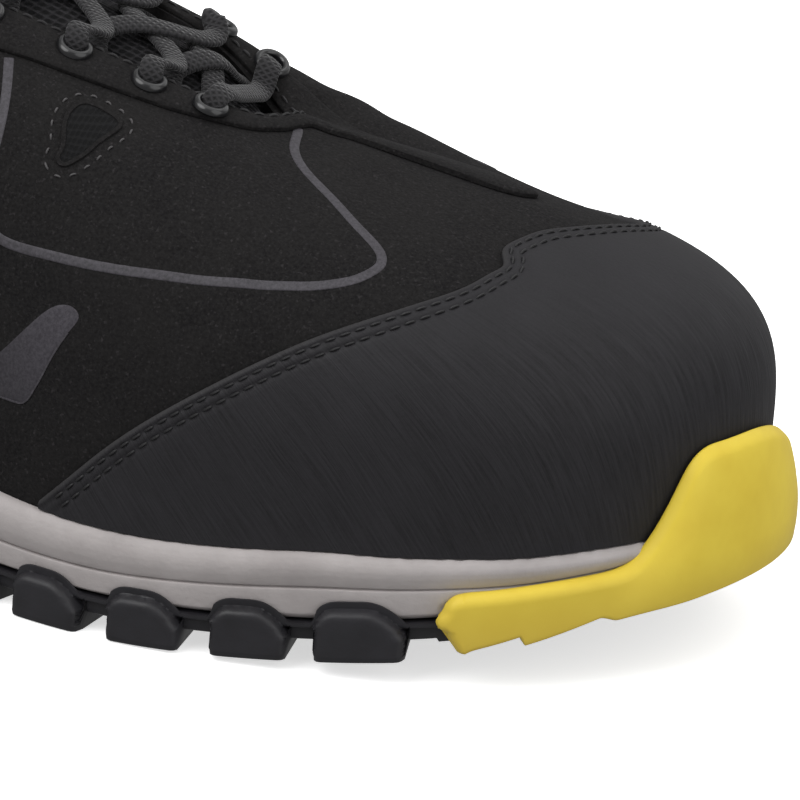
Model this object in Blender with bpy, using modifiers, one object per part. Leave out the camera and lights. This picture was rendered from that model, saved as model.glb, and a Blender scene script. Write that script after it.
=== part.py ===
"""Safety sneaker for the right foot: a lugged outsole, a foam midsole, a toe bumper and a hollow
upper with its overlays, collar, tongue, insole and laces. Metres, +Z up, +X to the toe, and the
outer side of the foot at -Y."""
import math

import bmesh
import bpy
import numpy as np
from mathutils import Vector

# Driving sizes in metres
LENGTH = 0.300
BALL_WIDTH = 0.112
COLLAR_HEIGHT = 0.106
HEEL_STACK = 0.0332
FOREFOOT_STACK = 0.0214
TOE_SPRING = 0.0154
ARCH_LIFT = 0.0025
HEEL_BEVEL = 0.0030
UPPER_INSET = 0.0030
UPPER_WALL = 0.0022
LASTING_MARGIN = 0.0085
RIM_DEPTH = 0.0024
CLEARANCE = 0.0003
SOLE_GAP = 0.0005
OVERLAY_WALL = 0.0014
PLATE_LOW = 0.0034
PLATE_HIGH = 0.0074
PLATE_INSET = 0.0012
TREAD_REACH = 0.0135
LUG_HEIGHT = 0.0122
LUG_PROUD = 0.0026
LUG_LENGTH = 0.0156
LUG_PITCH = 0.0222
BUMPER_ARM = 0.074
BUMPER_HEIGHT = 0.0332
BUMPER_PROUD = 0.0028
BUMPER_SEAT = 0.0010
BUMPER_FOOT = 0.0012
INSOLE_THICKNESS = 0.0040
INSOLE_INSET = 0.0062
COLLAR_PAD = 0.0100
COLLAR_ROLL = 0.0060
TONGUE_PAD = 0.0060
TONGUE_RISE = 0.0260
TONGUE_GAP = 0.0008
LACE_WIDTH = 0.0046
EYELET_RADIUS = 0.0038
EYELET_HOLE = 0.0021
EYELET_HEIGHT = 0.0012

# Outline of the sole edge, seen from above
# Columns: along, out
OUTLINE_ROWS = (
    (0.000, 0.028),
    (0.022, -0.162),
    (0.100, -0.312),
    (0.250, -0.357),
    (0.420, -0.380),
    (0.620, -0.508),
    (0.780, -0.455),
    (0.910, -0.324),
    (0.976, -0.097),
    (1.000, 0.115),
    (0.970, 0.355),
    (0.877, 0.444),
    (0.740, 0.500),
    (0.600, 0.440),
    (0.430, 0.343),
    (0.260, 0.353),
    (0.110, 0.348),
    (0.022, 0.218),
)

# Height of the upper's foot above the ground line, as the share that the heel adds to the forefoot
# Columns: along, heel_share
STACK_ROWS = (
    (0.00, 1.00),
    (0.15, 0.94),
    (0.30, 0.82),
    (0.45, 0.47),
    (0.60, 0.11),
    (0.68, 0.00),
    (0.80, 0.00),
    (1.00, 0.00),
)
SPRING_START = 0.632
ARCH_SPAN = (0.25, 0.48)
BEVEL_SPAN = 0.07

# Sections of the upper, one row for each place round the outline.
# round: 0 heel, 1 toe on the outer side, 2 heel again on the inner side.
# edge_along, edge_out, edge_up: the collar or throat edge, as shares of the length, ball width
# and collar height. wall: share of the height at which the wall turns over. fullness: how square
# the turn is. roll: share of the turn that is used before the edge. bulge: belly of the wall,
# as a share of the ball width.
# Columns: round, edge_along, edge_out, edge_up, wall, fullness, roll, bulge
UPPER_ROWS = (
    (0.00, 0.042, 0.028, 1.00, 1.00, 2.0, 0.50, 0.040),
    (0.10, 0.068, -0.150, 0.94, 1.00, 2.0, 0.50, 0.032),
    (0.22, 0.150, -0.245, 0.80, 1.00, 2.0, 0.55, 0.020),
    (0.34, 0.265, -0.235, 0.84, 0.96, 2.1, 0.62, 0.012),
    (0.46, 0.385, -0.155, 1.01, 0.86, 2.3, 0.80, 0.006),
    (0.60, 0.500, -0.080, 0.98, 0.76, 2.9, 0.97, 0.000),
    (0.74, 0.590, -0.035, 0.90, 0.71, 3.8, 1.00, 0.000),
    (0.86, 0.636, 0.010, 0.855, 0.71, 4.4, 1.00, 0.000),
    (1.00, 0.650, 0.080, 0.840, 0.71, 4.8, 1.00, 0.000),
    (1.14, 0.636, 0.145, 0.855, 0.73, 4.6, 1.00, 0.000),
    (1.26, 0.590, 0.170, 0.90, 0.74, 3.8, 1.00, 0.000),
    (1.40, 0.500, 0.185, 0.98, 0.78, 2.9, 0.97, 0.000),
    (1.54, 0.385, 0.220, 1.01, 0.86, 2.3, 0.80, 0.006),
    (1.66, 0.265, 0.275, 0.84, 0.96, 2.1, 0.62, 0.012),
    (1.78, 0.150, 0.285, 0.80, 1.00, 2.0, 0.55, 0.020),
    (1.90, 0.068, 0.205, 0.94, 1.00, 2.0, 0.50, 0.032),
)


# Splines and tables

def spline(knots, values, at, period=None):
    """Cubic spline through the values, natural at its ends or closed over a period."""
    knots = np.asarray(knots, float)
    values = np.asarray(values, float)
    values = values.reshape(len(knots), -1)
    if period is not None:
        knots = np.append(knots, knots[0] + period)
        values = np.vstack([values, values[:1]])
    step = np.diff(knots)
    slope = np.diff(values, axis=0) / step[:, None]
    count = len(knots)
    matrix = np.zeros((count, count))
    right = np.zeros_like(values)
    for i in range(1, count - 1):
        matrix[i, i - 1:i + 2] = step[i - 1], 2 * (step[i - 1] + step[i]), step[i]
        right[i] = 6 * (slope[i] - slope[i - 1])
    if period is None:
        matrix[0, 0] = 1
        matrix[-1, -1] = 1
    else:
        matrix[0, 0] = 1
        matrix[0, -1] = -1
        matrix[-1, [0, 1, -2, -1]] = 2 * step[0], step[0], step[-1], 2 * step[-1]
        right[-1] = 6 * (slope[0] - slope[-1])
    bend = np.linalg.solve(matrix, right)
    at = np.asarray(at, float)
    flat = at.ravel()
    if period is not None:
        flat = knots[0] + (flat - knots[0]) % period
    flat = np.clip(flat, knots[0], knots[-1])
    i = np.clip(np.searchsorted(knots, flat, side="right") - 1, 0, count - 2)
    gap = step[i][:, None]
    a = ((knots[i + 1] - flat)[:, None]) / gap
    b = 1 - a
    bent = ((a ** 3 - a) * bend[i] + (b ** 3 - b) * bend[i + 1]) * gap ** 2 / 6
    result = a * values[i] + b * values[i + 1] + bent
    return result.reshape(at.shape + (values.shape[1],))


def table(rows, at, period=None):
    """The columns after the first one, read at places of the first one."""
    rows = np.asarray(rows, float)
    return spline(rows[:, 0], rows[:, 1:], at, period)


def smooth_step(value, low, high):
    share = np.clip((value - low) / (high - low), 0.0, 1.0)
    return share * share * (3 - 2 * share)


# The sole edge and the ground line

class Outline:
    """The sole edge as a closed curve, read by the place round it: 0 heel, 1 toe, 2 heel again."""

    def __init__(self, samples=1600):
        corners = np.asarray(OUTLINE_ROWS, float) * (LENGTH, BALL_WIDTH)
        corners[:, 0] -= LENGTH / 2
        chords = np.linalg.norm(np.diff(np.vstack([corners, corners[:1]]), axis=0), axis=1)
        knots = np.append(0, np.cumsum(chords))
        points = spline(knots[:-1], corners, np.linspace(0, knots[-1], samples + 1), knots[-1])
        points[-1] = points[0]
        steps = np.linalg.norm(np.diff(points, axis=0), axis=1)
        arc = np.append(0, np.cumsum(steps))
        toe = int(np.argmax(points[:, 0]))
        self.outer_side = arc[toe]
        self.inner_side = arc[-1] - arc[toe]
        self.arc = arc
        self.points = points

    def arc_at(self, place):
        place = np.asarray(place, float) % 2
        outer = place * self.outer_side
        inner = self.outer_side + (place - 1) * self.inner_side
        return np.where(place <= 1, outer, inner)

    def at(self, place):
        arc = self.arc_at(place)
        x = np.interp(arc, self.arc, self.points[:, 0])
        y = np.interp(arc, self.arc, self.points[:, 1])
        return np.stack([x, y], -1)

    def normal(self, place):
        step = 0.004
        tangent = self.at(np.asarray(place) + step) - self.at(np.asarray(place) - step)
        tangent /= np.linalg.norm(tangent, axis=-1, keepdims=True)
        return np.stack([tangent[..., 1], -tangent[..., 0]], -1)

    def place_of_arc(self, arc):
        total = self.outer_side + self.inner_side
        arc = np.asarray(arc, float) % total
        outer = arc / self.outer_side
        inner = 1 + (arc - self.outer_side) / self.inner_side
        return np.where(arc <= self.outer_side, outer, inner)


EDGE = Outline()


def ground(x):
    """Height of the tread's lowest line: flat at heel and forefoot, lifted at toe, arch and back."""
    share = x / LENGTH + 0.5
    toe = np.clip((share - SPRING_START) / (1 - SPRING_START), 0, 1)
    arch = smooth_step(share, ARCH_SPAN[0], np.mean(ARCH_SPAN))
    arch = arch * (1 - smooth_step(share, np.mean(ARCH_SPAN), ARCH_SPAN[1]))
    back = np.clip(1 - share / BEVEL_SPAN, 0, 1)
    return TOE_SPRING * toe ** 2 + ARCH_LIFT * arch + HEEL_BEVEL * back ** 2


def foot_height(x):
    """Height of the line where the upper meets the sole."""
    share = x / LENGTH + 0.5
    toe = np.clip((share - SPRING_START) / (1 - SPRING_START), 0, 1)
    heel = table(STACK_ROWS, share)[..., 0]
    return FOREFOOT_STACK + (HEEL_STACK - FOREFOOT_STACK) * heel + TOE_SPRING * toe ** 2


# The upper as a function of the place round the outline and the turn from foot to edge

def rounded_corner(angle, full):
    """Shares across and up of a rounded corner, squarer as full grows."""
    across = np.cos(angle)
    up = np.sin(angle)
    reach = (across ** full + up ** full) ** (-1 / full)
    return reach * across, reach * up


def section(place, turn):
    """Point of the upper's outer face: turn 0 at the sole, 1 at the collar or throat edge."""
    place, turn = np.broadcast_arrays(np.asarray(place, float), np.asarray(turn, float))
    row = table(UPPER_ROWS, place, 2.0)
    rim = EDGE.at(place)
    normal = EDGE.normal(place)
    foot = rim - normal * UPPER_INSET
    low = foot_height(rim[..., 0])
    edge = np.stack([(row[..., 0] - 0.5) * LENGTH, row[..., 1] * BALL_WIDTH], -1)
    top = row[..., 2] * COLLAR_HEIGHT
    wall = (top - low) * row[..., 3]
    full = row[..., 4]
    last = np.clip(row[..., 5], 0, 1) * math.pi / 2
    across, up = rounded_corner(np.clip(turn, 0, 1) * last, full)
    last_across, last_up = rounded_corner(last, full)
    inward = (1 - across) / (1 - last_across)
    rise = up / last_up
    belly = row[..., 6] * BALL_WIDTH * np.sin(math.pi * np.clip(rise, 0, 1))
    flat = foot + (edge - foot) * inward[..., None] + normal * belly[..., None]
    height = low + wall * rise + (top - low - wall) * inward
    return np.concatenate([flat, height[..., None]], -1)


def upper_face(place, turn, out=0.0):
    """Point at a distance out from the upper's outer face."""
    place, turn, out = np.broadcast_arrays(
        np.asarray(place, float), np.asarray(turn, float), np.asarray(out, float))
    step = 0.004
    low = np.clip(turn, 0, 1 - 2 * step)
    round_way = section(place + step, turn) - section(place - step, turn)
    up_way = section(place, low + 2 * step) - section(place, low)
    normal = np.cross(round_way, up_way)
    normal /= np.linalg.norm(normal, axis=-1, keepdims=True)
    return section(place, turn) + normal * out[..., None]


# Solids

# Stations that every curved piece shares, so that their facets lie side by side
STATIONS = 56
PLACES = np.arange(STATIONS) * 2 / STATIONS
TURNS = (0.0, 0.10, 0.21, 0.33, 0.44, 0.55, 0.66, 0.78, 0.89, 1.0)

# Upper edge of the toe cap, with a low tab over the middle of the foot
# Columns: place, turn
CAP_ROWS = (
    (0.556, 0.000),
    (0.585, 0.138),
    (0.625, 0.271),
    (0.688, 0.408),
    (0.785, 0.525),
    (0.858, 0.579),
    (0.893, 0.612),
    (0.912, 0.645),
    (0.955, 0.660),
    (1.000, 0.655),
    (1.045, 0.660),
    (1.088, 0.645),
    (1.107, 0.612),
    (1.142, 0.579),
    (1.215, 0.525),
    (1.312, 0.408),
    (1.375, 0.271),
    (1.415, 0.138),
    (1.444, 0.000),
)

# Lower edge of the eyestay, which meets the throat edge all round
# Columns: place, turn
EYESTAY_ROWS = (
    (0.430, 0.810),
    (0.500, 0.830),
    (0.600, 0.850),
    (0.700, 0.870),
    (0.790, 0.900),
    (0.860, 0.930),
    (0.920, 0.890),
    (0.970, 0.790),
    (1.015, 0.705),
    (1.055, 0.705),
    (1.095, 0.790),
    (1.150, 0.870),
    (1.250, 0.885),
    (1.400, 0.850),
    (1.500, 0.830),
    (1.570, 0.810),
)
EYESTAY_TOP = 0.985

# Upper edge of the heel counter
# Columns: place, turn
COUNTER_ROWS = (
    (1.740, 0.050),
    (1.800, 0.330),
    (1.880, 0.500),
    (2.000, 0.620),
    (2.120, 0.500),
    (2.200, 0.330),
    (2.260, 0.050),
)
COUNTER_FOOT = 0.025

# Side of the midsole: share of the height from plate to foot line, and how far out it stands
# Columns: share, out
SIDE_ROWS = (
    (0.00, -0.0020),
    (0.06, -0.0008),
    (0.42, -0.0005),
    (0.475, -0.0014),
    (0.52, -0.0004),
    (0.70, 0.0004),
    (0.90, 0.0001),
    (1.00, -0.0014),
)

# Upper edge of the toe bumper: share of its arm from the toe back, share of its height
# Columns: arm, height
BUMPER_ROWS = (
    (0.00, 0.93),
    (0.10, 0.95),
    (0.20, 0.965),
    (0.27, 0.95),
    (0.31, 0.88),
    (0.36, 0.69),
    (0.41, 0.525),
    (0.46, 0.43),
    (0.52, 0.40),
    (0.75, 0.425),
    (0.90, 0.43),
    (0.98, 0.41),
    (1.00, 0.38),
)
# Notches in the bumper's foot, as shares of its arm
BUMPER_NOTCHES = ((0.55, 0.60), (0.765, 0.81))


def clear_scene():
    for item in list(bpy.data.objects):
        bpy.data.objects.remove(item, do_unlink=True)


def material(name, colour, roughness):
    surface = bpy.data.materials.new(name)
    surface.use_nodes = True
    shader = surface.node_tree.nodes["Principled BSDF"]
    shader.inputs["Base Color"].default_value = (*colour, 1.0)
    shader.inputs["Roughness"].default_value = roughness
    surface.diffuse_color = (*colour, 1.0)
    return surface


def solid(name, points, faces, surface, collection):
    """An object from points and faces."""
    mesh = bpy.data.meshes.new(name)
    mesh.from_pydata([tuple(p) for p in np.asarray(points).reshape(-1, 3)], [], faces)
    mesh.validate()
    item = bpy.data.objects.new(name, mesh)
    item.data.materials.append(surface)
    collection.objects.link(item)
    mesh.shade_smooth()
    mesh.set_sharp_from_angle(angle=math.radians(40))
    return item


def strip_faces(first, second, first_turns, second_turns):
    """Triangles between two columns of points, taken in the order of their turns."""
    faces = []
    i = 0
    j = 0
    while i < len(first) - 1 or j < len(second) - 1:
        next_first = first_turns[i + 1] if i < len(first) - 1 else math.inf
        next_second = second_turns[j + 1] if j < len(second) - 1 else math.inf
        if next_first <= next_second:
            faces.append((first[i], second[j], first[i + 1]))
            i += 1
        else:
            faces.append((first[i], second[j], second[j + 1]))
            j += 1
    return faces


def sheet(name, columns, closed, wall, outward, surface, collection):
    """A sheet from columns of (turn, point), given a wall by Solidify."""
    points = []
    numbers = []
    for column in columns:
        numbers.append(list(range(len(points), len(points) + len(column))))
        points.extend(point for turn, point in column)
    faces = []
    last = len(columns) if closed else len(columns) - 1
    for k in range(last):
        n = (k + 1) % len(columns)
        first_turns = [turn for turn, point in columns[k]]
        second_turns = [turn for turn, point in columns[n]]
        faces.extend(strip_faces(numbers[k], numbers[n], first_turns, second_turns))
    item = solid(name, points, faces, surface, collection)
    thick = item.modifiers.new("Wall", "SOLIDIFY")
    thick.thickness = wall
    thick.offset = 1.0 if outward else -1.0
    thick.use_even_offset = True
    return item


def ladder(ring):
    """Faces that close a ring whose two sides are matched, heel first and toe half way."""
    count = len(ring)
    faces = [(ring[0], ring[1], ring[-1])]
    for i in range(1, count // 2 - 1):
        faces.append((ring[i], ring[i + 1], ring[-i - 1], ring[-i]))
    middle = count // 2
    faces.append((ring[middle - 1], ring[middle], ring[middle + 1]))
    return faces


def skin(name, rows, surface, collection):
    """A closed solid from rings of points, lowest cap first, each ring the same length."""
    rows = np.asarray(rows)
    ring_count, count = rows.shape[:2]
    number = np.arange(ring_count * count).reshape(ring_count, count)
    faces = []
    for r in range(ring_count - 1):
        for i in range(count):
            n = (i + 1) % count
            faces.append((number[r, i], number[r, n], number[r + 1, n], number[r + 1, i]))
    faces += ladder(list(number[-1]))
    faces += [tuple(reversed(face)) for face in ladder(list(number[0]))]
    faces = [tuple(int(corner) for corner in face) for face in faces]
    item = solid(name, rows, faces, surface, collection)
    face_outward(item.data)
    return item


def tube(name, sections, surface, collection):
    """A closed solid from sections of the same length, with a face at each end."""
    sections = np.asarray(sections)
    count, size = sections.shape[:2]
    number = np.arange(count * size).reshape(count, size)
    faces = []
    for k in range(count - 1):
        for i in range(size):
            n = (i + 1) % size
            faces.append((number[k, i], number[k, n], number[k + 1, n], number[k + 1, i]))
    faces.append(tuple(number[0][::-1]))
    faces.append(tuple(number[-1]))
    faces = [tuple(int(corner) for corner in face) for face in faces]
    item = solid(name, sections, faces, surface, collection)
    face_outward(item.data)
    return item


def face_outward(mesh):
    shape = bmesh.new()
    shape.from_mesh(mesh)
    bmesh.ops.recalc_face_normals(shape, faces=shape.faces)
    shape.to_mesh(mesh)
    shape.free()


def side_point(place, out, height):
    """Point beside the sole edge at a height."""
    rim = EDGE.at(place) + EDGE.normal(place) * np.asarray(out)[..., None]
    height = np.broadcast_to(height, rim.shape[:-1])
    return np.concatenate([rim, height[..., None]], -1)


def foot_point(place, out, lift):
    """Point inside the sole edge, at a lift over the foot line where it lies."""
    rim = side_point(place, out, 0.0)
    rim[..., 2] = foot_height(rim[..., 0]) + lift
    return rim


# Pieces of the upper

def make_upper(surface, collection):
    columns = []
    for place in PLACES:
        column = [
            (-2.0, foot_point(place, -UPPER_INSET - LASTING_MARGIN, -RIM_DEPTH)),
            (-1.0, foot_point(place, -UPPER_INSET, -RIM_DEPTH)),
        ]
        column += [(turn, upper_face(place, turn)) for turn in TURNS]
        columns.append(column)
    return sheet("upper", columns, True, UPPER_WALL, False, surface, collection)


def overlay(name, low_edge, high_edge, surface, collection):
    """A sheet over the upper between two edges, given as a turn for each place."""
    columns = []
    for place in sorted(low_edge):
        low = low_edge[place]
        high = high_edge[place]
        between = [turn for turn in TURNS if low + 0.02 < turn < high - 0.02]
        turns = [low] + between + [high]
        columns.append([(turn, upper_face(place, turn, CLEARANCE)) for turn in turns])
    return sheet(name, columns, False, OVERLAY_WALL, True, surface, collection)


def places_between(low, high):
    steps = np.arange(-STATIONS, 2 * STATIONS) * 2 / STATIONS
    return [float(place) for place in steps if low < place < high]


def make_toe_cap(surface, collection):
    places = places_between(CAP_ROWS[0][0], CAP_ROWS[-1][0])
    high = {place: float(np.interp(place, *zip(*CAP_ROWS))) for place in places}
    low = {place: 0.0 for place in places}
    return overlay("toe_cap", low, high, surface, collection)


def make_eyestay(surface, collection):
    places = places_between(EYESTAY_ROWS[0][0], EYESTAY_ROWS[-1][0])
    low = {place: float(np.interp(place, *zip(*EYESTAY_ROWS))) for place in places}
    high = {place: EYESTAY_TOP for place in places}
    return overlay("eyestay", low, high, surface, collection)


def make_heel_counter(surface, collection):
    places = places_between(COUNTER_ROWS[0][0], COUNTER_ROWS[-1][0])
    high = {place: float(table(COUNTER_ROWS, place)[0]) for place in places}
    low = {place: COUNTER_FOOT for place in places}
    return overlay("heel_counter", low, high, surface, collection)


# Collar, tongue and insole

COLLAR_END = 0.41
COLLAR_TAPER = (0.26, 0.40)
COLLAR_THIN = 0.35
# Section of the padded collar: turn on the wall, depth in clearances or shares of the pad, rise
# over the rim as a share of the roll
# Columns: turn, pad, rise
COLLAR_SECTION = (
    (1.00, 0.00, 0.00),
    (0.89, 0.00, 0.00),
    (0.78, 0.00, 0.00),
    (0.66, 0.03, 0.00),
    (0.72, 0.60, 0.00),
    (0.84, 1.00, 0.00),
    (0.97, 1.00, 0.00),
    (1.00, 0.88, 0.50),
    (1.00, 0.50, 1.00),
    (1.00, 0.05, 0.95),
    (1.00, -0.20, 0.50),
)


def wall_up(place):
    """Direction of the wall at its top edge."""
    way = section(place, 1.0) - section(place, 0.93)
    return way / np.linalg.norm(way)


def make_collar(surface, collection):
    inside = UPPER_WALL + CLEARANCE
    sections = []
    for place in places_between(2 - COLLAR_END, 2 + COLLAR_END):
        front = abs(place - 2)
        thin = 1 - (1 - COLLAR_THIN) * smooth_step(front, *COLLAR_TAPER)
        up = wall_up(place)
        points = []
        for turn, pad, rise in COLLAR_SECTION:
            depth = inside + pad * COLLAR_PAD * (thin if pad > 0 else 1)
            points.append(upper_face(place, turn, -depth) + up * rise * COLLAR_ROLL * thin)
        rim = upper_face(place, 1.0, -CLEARANCE) + up * CLEARANCE * 2
        points.append(rim)
        points.append(upper_face(place, 1.0, -inside) + up * CLEARANCE * 2)
        sections.append(points)
    return tube("collar", sections, surface, collection)


TONGUE_PLACES = (0.46, 0.50, 0.56, 0.625, 0.69, 0.76, 0.83, 0.89, 0.94, 0.97)
TONGUE_TUCK = 0.87
TONGUE_FREE = 0.98
TUCK_SPAN = (0.46, 0.56)
# The free end of the tongue: share of its rise, width, thickness and lean back from the throat
# Columns: rise, width, thick, turn
TONGUE_END = (
    (1.00, 0.46, 0.45, 1.00),
    (0.95, 0.70, 0.80, 1.00),
    (0.80, 0.84, 1.00, 1.00),
    (0.50, 0.88, 1.00, 0.95),
    (0.20, 0.90, 1.00, 0.55),
)
TONGUE_THICKNESS = (0.25, 0.90, 1.00, 1.00, 1.00, 0.90, 0.25)
TONGUE_STAND = 0.85


def tongue_section(place):
    """Section across the tongue: its top face from the outer to the inner side, then its back."""
    depth = UPPER_WALL + TONGUE_GAP
    sides = (place, 2 - place)
    tuck = TONGUE_FREE + (TONGUE_TUCK - TONGUE_FREE) * smooth_step(place, *TUCK_SPAN)
    tucked = [upper_face(side, tuck, -depth) for side in sides]
    edges = [upper_face(side, 1.0, -depth) for side in sides]
    across = edges[1] - edges[0]
    along = section(place - 0.02, 1.0) - section(place + 0.02, 1.0)
    along = along + section(2 - place + 0.02, 1.0) - section(2 - place - 0.02, 1.0)
    up = np.cross(across, along)
    up /= np.linalg.norm(up)
    if up[2] < 0:
        up = -up
    crown = up * np.linalg.norm(across) * 0.10
    middle = (edges[0] + edges[1]) / 2 + crown
    quarter = [(middle + edge) / 2 + crown * 0.25 for edge in edges]
    top = [tucked[0], edges[0], quarter[0], middle, quarter[1], edges[1], tucked[1]]
    top = np.array(top)
    back = top - up * np.array(TONGUE_THICKNESS)[:, None] * TONGUE_PAD
    return np.vstack([top, back[::-1]]), middle, up


def make_tongue(surface, collection):
    first, middle, up = tongue_section(TONGUE_PLACES[0])
    second, next_middle, next_up = tongue_section(TONGUE_PLACES[1])
    back_way = middle - next_middle
    back_way /= np.linalg.norm(back_way)
    rise_way = back_way * (1 - TONGUE_STAND) + np.array([0, 0, TONGUE_STAND])
    rise_way /= np.linalg.norm(rise_way)
    half = len(first) // 2
    across = first[half - 1] - first[0]
    across /= np.linalg.norm(across)
    face_way = np.cross(across, rise_way)
    face_way *= np.sign(face_way[0])
    side = (first[:half] - middle) @ across
    height = (first[:half] - middle) @ up
    sections = []
    for rise, width, thick, turn in TONGUE_END:
        facing = up * (1 - turn) + face_way * turn
        facing /= np.linalg.norm(facing)
        way = back_way * (1 - turn) + rise_way * turn
        centre = middle + way * rise * TONGUE_RISE
        top = centre + np.outer(side * width, across) + np.outer(height * width, facing)
        depth = np.array(TONGUE_THICKNESS) * TONGUE_PAD * thick
        back = top - np.outer(depth, facing)
        sections.append(np.vstack([top, back[::-1]]))
    sections.append(first)
    for place in TONGUE_PLACES[1:]:
        sections.append(tongue_section(place)[0])
    return tube("tongue", sections, surface, collection)


def make_insole(surface, collection):
    low = UPPER_WALL + CLEARANCE * 2 - RIM_DEPTH
    high = low + INSOLE_THICKNESS
    edge = INSOLE_THICKNESS * 0.3
    rows = [
        foot_point(PLACES, -INSOLE_INSET, low),
        foot_point(PLACES, -INSOLE_INSET, high - edge),
        foot_point(PLACES, -INSOLE_INSET - edge, high),
    ]
    return skin("insole", rows, surface, collection)


# Sole pieces

def arm_place(share, inner):
    """Place on the outline at a share of the bumper's arm, back from the toe."""
    if inner:
        return 1 + share * BUMPER_ARM / EDGE.inner_side
    return 1 - share * BUMPER_ARM / EDGE.outer_side


def bumper_seat(place):
    """1 where the sole is cut back under the bumper."""
    return (place > SEAT_ENDS[0]) & (place < SEAT_ENDS[1])


SEAT_SHARE = 1 + 2 * CLEARANCE / BUMPER_ARM
SEAT_ENDS = (arm_place(SEAT_SHARE, False), arm_place(SEAT_SHARE, True))
STEP_PLACE = 0.0008


def make_midsole(surface, collection):
    extra = []
    for end in SEAT_ENDS:
        extra += [end - STEP_PLACE, end + STEP_PLACE]
    places = np.sort(np.append(PLACES, extra))
    rim = EDGE.at(places)
    base = ground(rim[:, 0]) + PLATE_HIGH + SOLE_GAP
    foot = foot_height(rim[:, 0]) - CLEARANCE
    seated = bumper_seat(places)
    rows = [side_point(places, np.full(len(places), -TREAD_REACH), base)]
    for share, out in SIDE_ROWS:
        out = np.where(seated, min(out, -BUMPER_SEAT), out)
        rows.append(side_point(places, out, base + (foot - base) * share))
    inner = np.full(len(places), CLEARANCE - UPPER_INSET)
    rows.append(side_point(places, inner, foot))
    rows.append(foot_point(places, inner, -RIM_DEPTH - CLEARANCE))
    rows.append(foot_point(places, inner - LASTING_MARGIN, -RIM_DEPTH - CLEARANCE))
    return skin("midsole", rows, surface, collection)


LUG_GAP_FRONT = 0.0066
LUG_SHRINK = 0.985
LUG_SHARE = LUG_LENGTH / LUG_PITCH
# Along a lug: share of its length, share of its height, share of how proud it stands
# Columns: along, height, proud
LUG_SHAPE = (
    (0.00, 0.72, 0.55),
    (0.20, 0.97, 1.00),
    (0.80, 0.97, 1.00),
    (1.00, 0.72, 0.55),
)
HEEL_LUG = 0.018


def lug_ring(side_length, inner):
    """Stations from the toe back to the heel: place, lug height and how proud it stands."""
    start = BUMPER_ARM + LUG_GAP_FRONT
    shrink = LUG_SHRINK ** np.arange(lug_count())
    room = side_length - start - HEEL_LUG / 2
    pitches = shrink * room / shrink.sum()
    stations = []
    for share in (0.12, 0.25, 0.37, 0.50, 0.65, 0.82, 0.98):
        stations.append((share * BUMPER_ARM, None))
    stations.append((SEAT_SHARE * BUMPER_ARM + side_length * STEP_PLACE, (0.0, 0.0)))
    wall = LUG_LENGTH * 0.04
    for pitch in pitches:
        length = pitch * LUG_SHARE
        stations.append((start - wall, (0.0, 0.0)))
        for along, height, proud in LUG_SHAPE:
            stations.append((start + along * length, (height, proud)))
        stations.append((start + length + wall, (0.0, 0.0)))
        start += pitch
    stations.append((start - wall, (0.0, 0.0)))
    stations.append((start, LUG_SHAPE[0][1:]))
    stations.append((start + HEEL_LUG * 0.2, LUG_SHAPE[1][1:]))
    ring = []
    for arc, lug in stations:
        share = arc / side_length
        ring.append((1 + share if inner else 1 - share, lug))
    return ring


def lug_count():
    room = EDGE.outer_side - BUMPER_ARM - LUG_GAP_FRONT - HEEL_LUG / 2
    pitches = np.cumsum(LUG_PITCH * LUG_SHRINK ** np.arange(60))
    return int(np.argmin(np.abs(pitches - room))) + 1


def outsole_section(place, lug):
    """Points of the outsole's edge from the tread's inner ring, round the side, to the plate."""
    rim = EDGE.at(place)
    base = float(ground(rim[0]))
    inner = -TREAD_REACH
    under = PLATE_LOW
    top = PLATE_HIGH
    if lug is None:
        seat = -BUMPER_SEAT - CLEARANCE
        low = 0.0006
        outs = (inner, inner + 0.001, seat - 0.001, seat, seat, seat - 0.0002, seat - 0.0004,
                inner)
        heights = (under, low, low, low + 0.001, top - 0.0008, top - 0.0003, top, top)
    elif lug[0] == 0.0:
        web = -PLATE_INSET
        outs = (inner, inner + 0.001, web - 0.0008, web, web, web - 0.0002, web - 0.0004, inner)
        heights = (under, under, under, under + 0.0008, top - 0.0008, top - 0.0003, top, top)
    else:
        high = LUG_HEIGHT * lug[0]
        proud = LUG_PROUD * lug[1]
        clear = CLEARANCE * 2
        outs = (inner, inner + 0.001, proud - 0.0010, proud, proud, proud - 0.0011, clear, inner)
        heights = (under, 0.0, 0.0, 0.0012, high - 0.0013, high, top, top)
    return [side_point(place, out, base + height) for out, height in zip(outs, heights)]


# Bars across the middle of the tread, as shares of the length
BAR_PLACES = (0.065, 0.115, 0.165, 0.215, 0.50, 0.55, 0.60, 0.65, 0.70, 0.75, 0.80, 0.85, 0.90)
BAR_LENGTH = 0.0085
BAR_POINT = 0.0060
BAR_CHANNEL = 0.0040


def side_width(x, inner):
    """How far the sole edge lies from the midline at a length."""
    places = np.linspace(1.0, 2.0, 200) if inner else np.linspace(0.0, 1.0, 200)
    rim = EDGE.at(places)
    order = np.argsort(rim[:, 0])
    return float(np.interp(x, rim[order, 0], rim[order, 1]))


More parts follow.
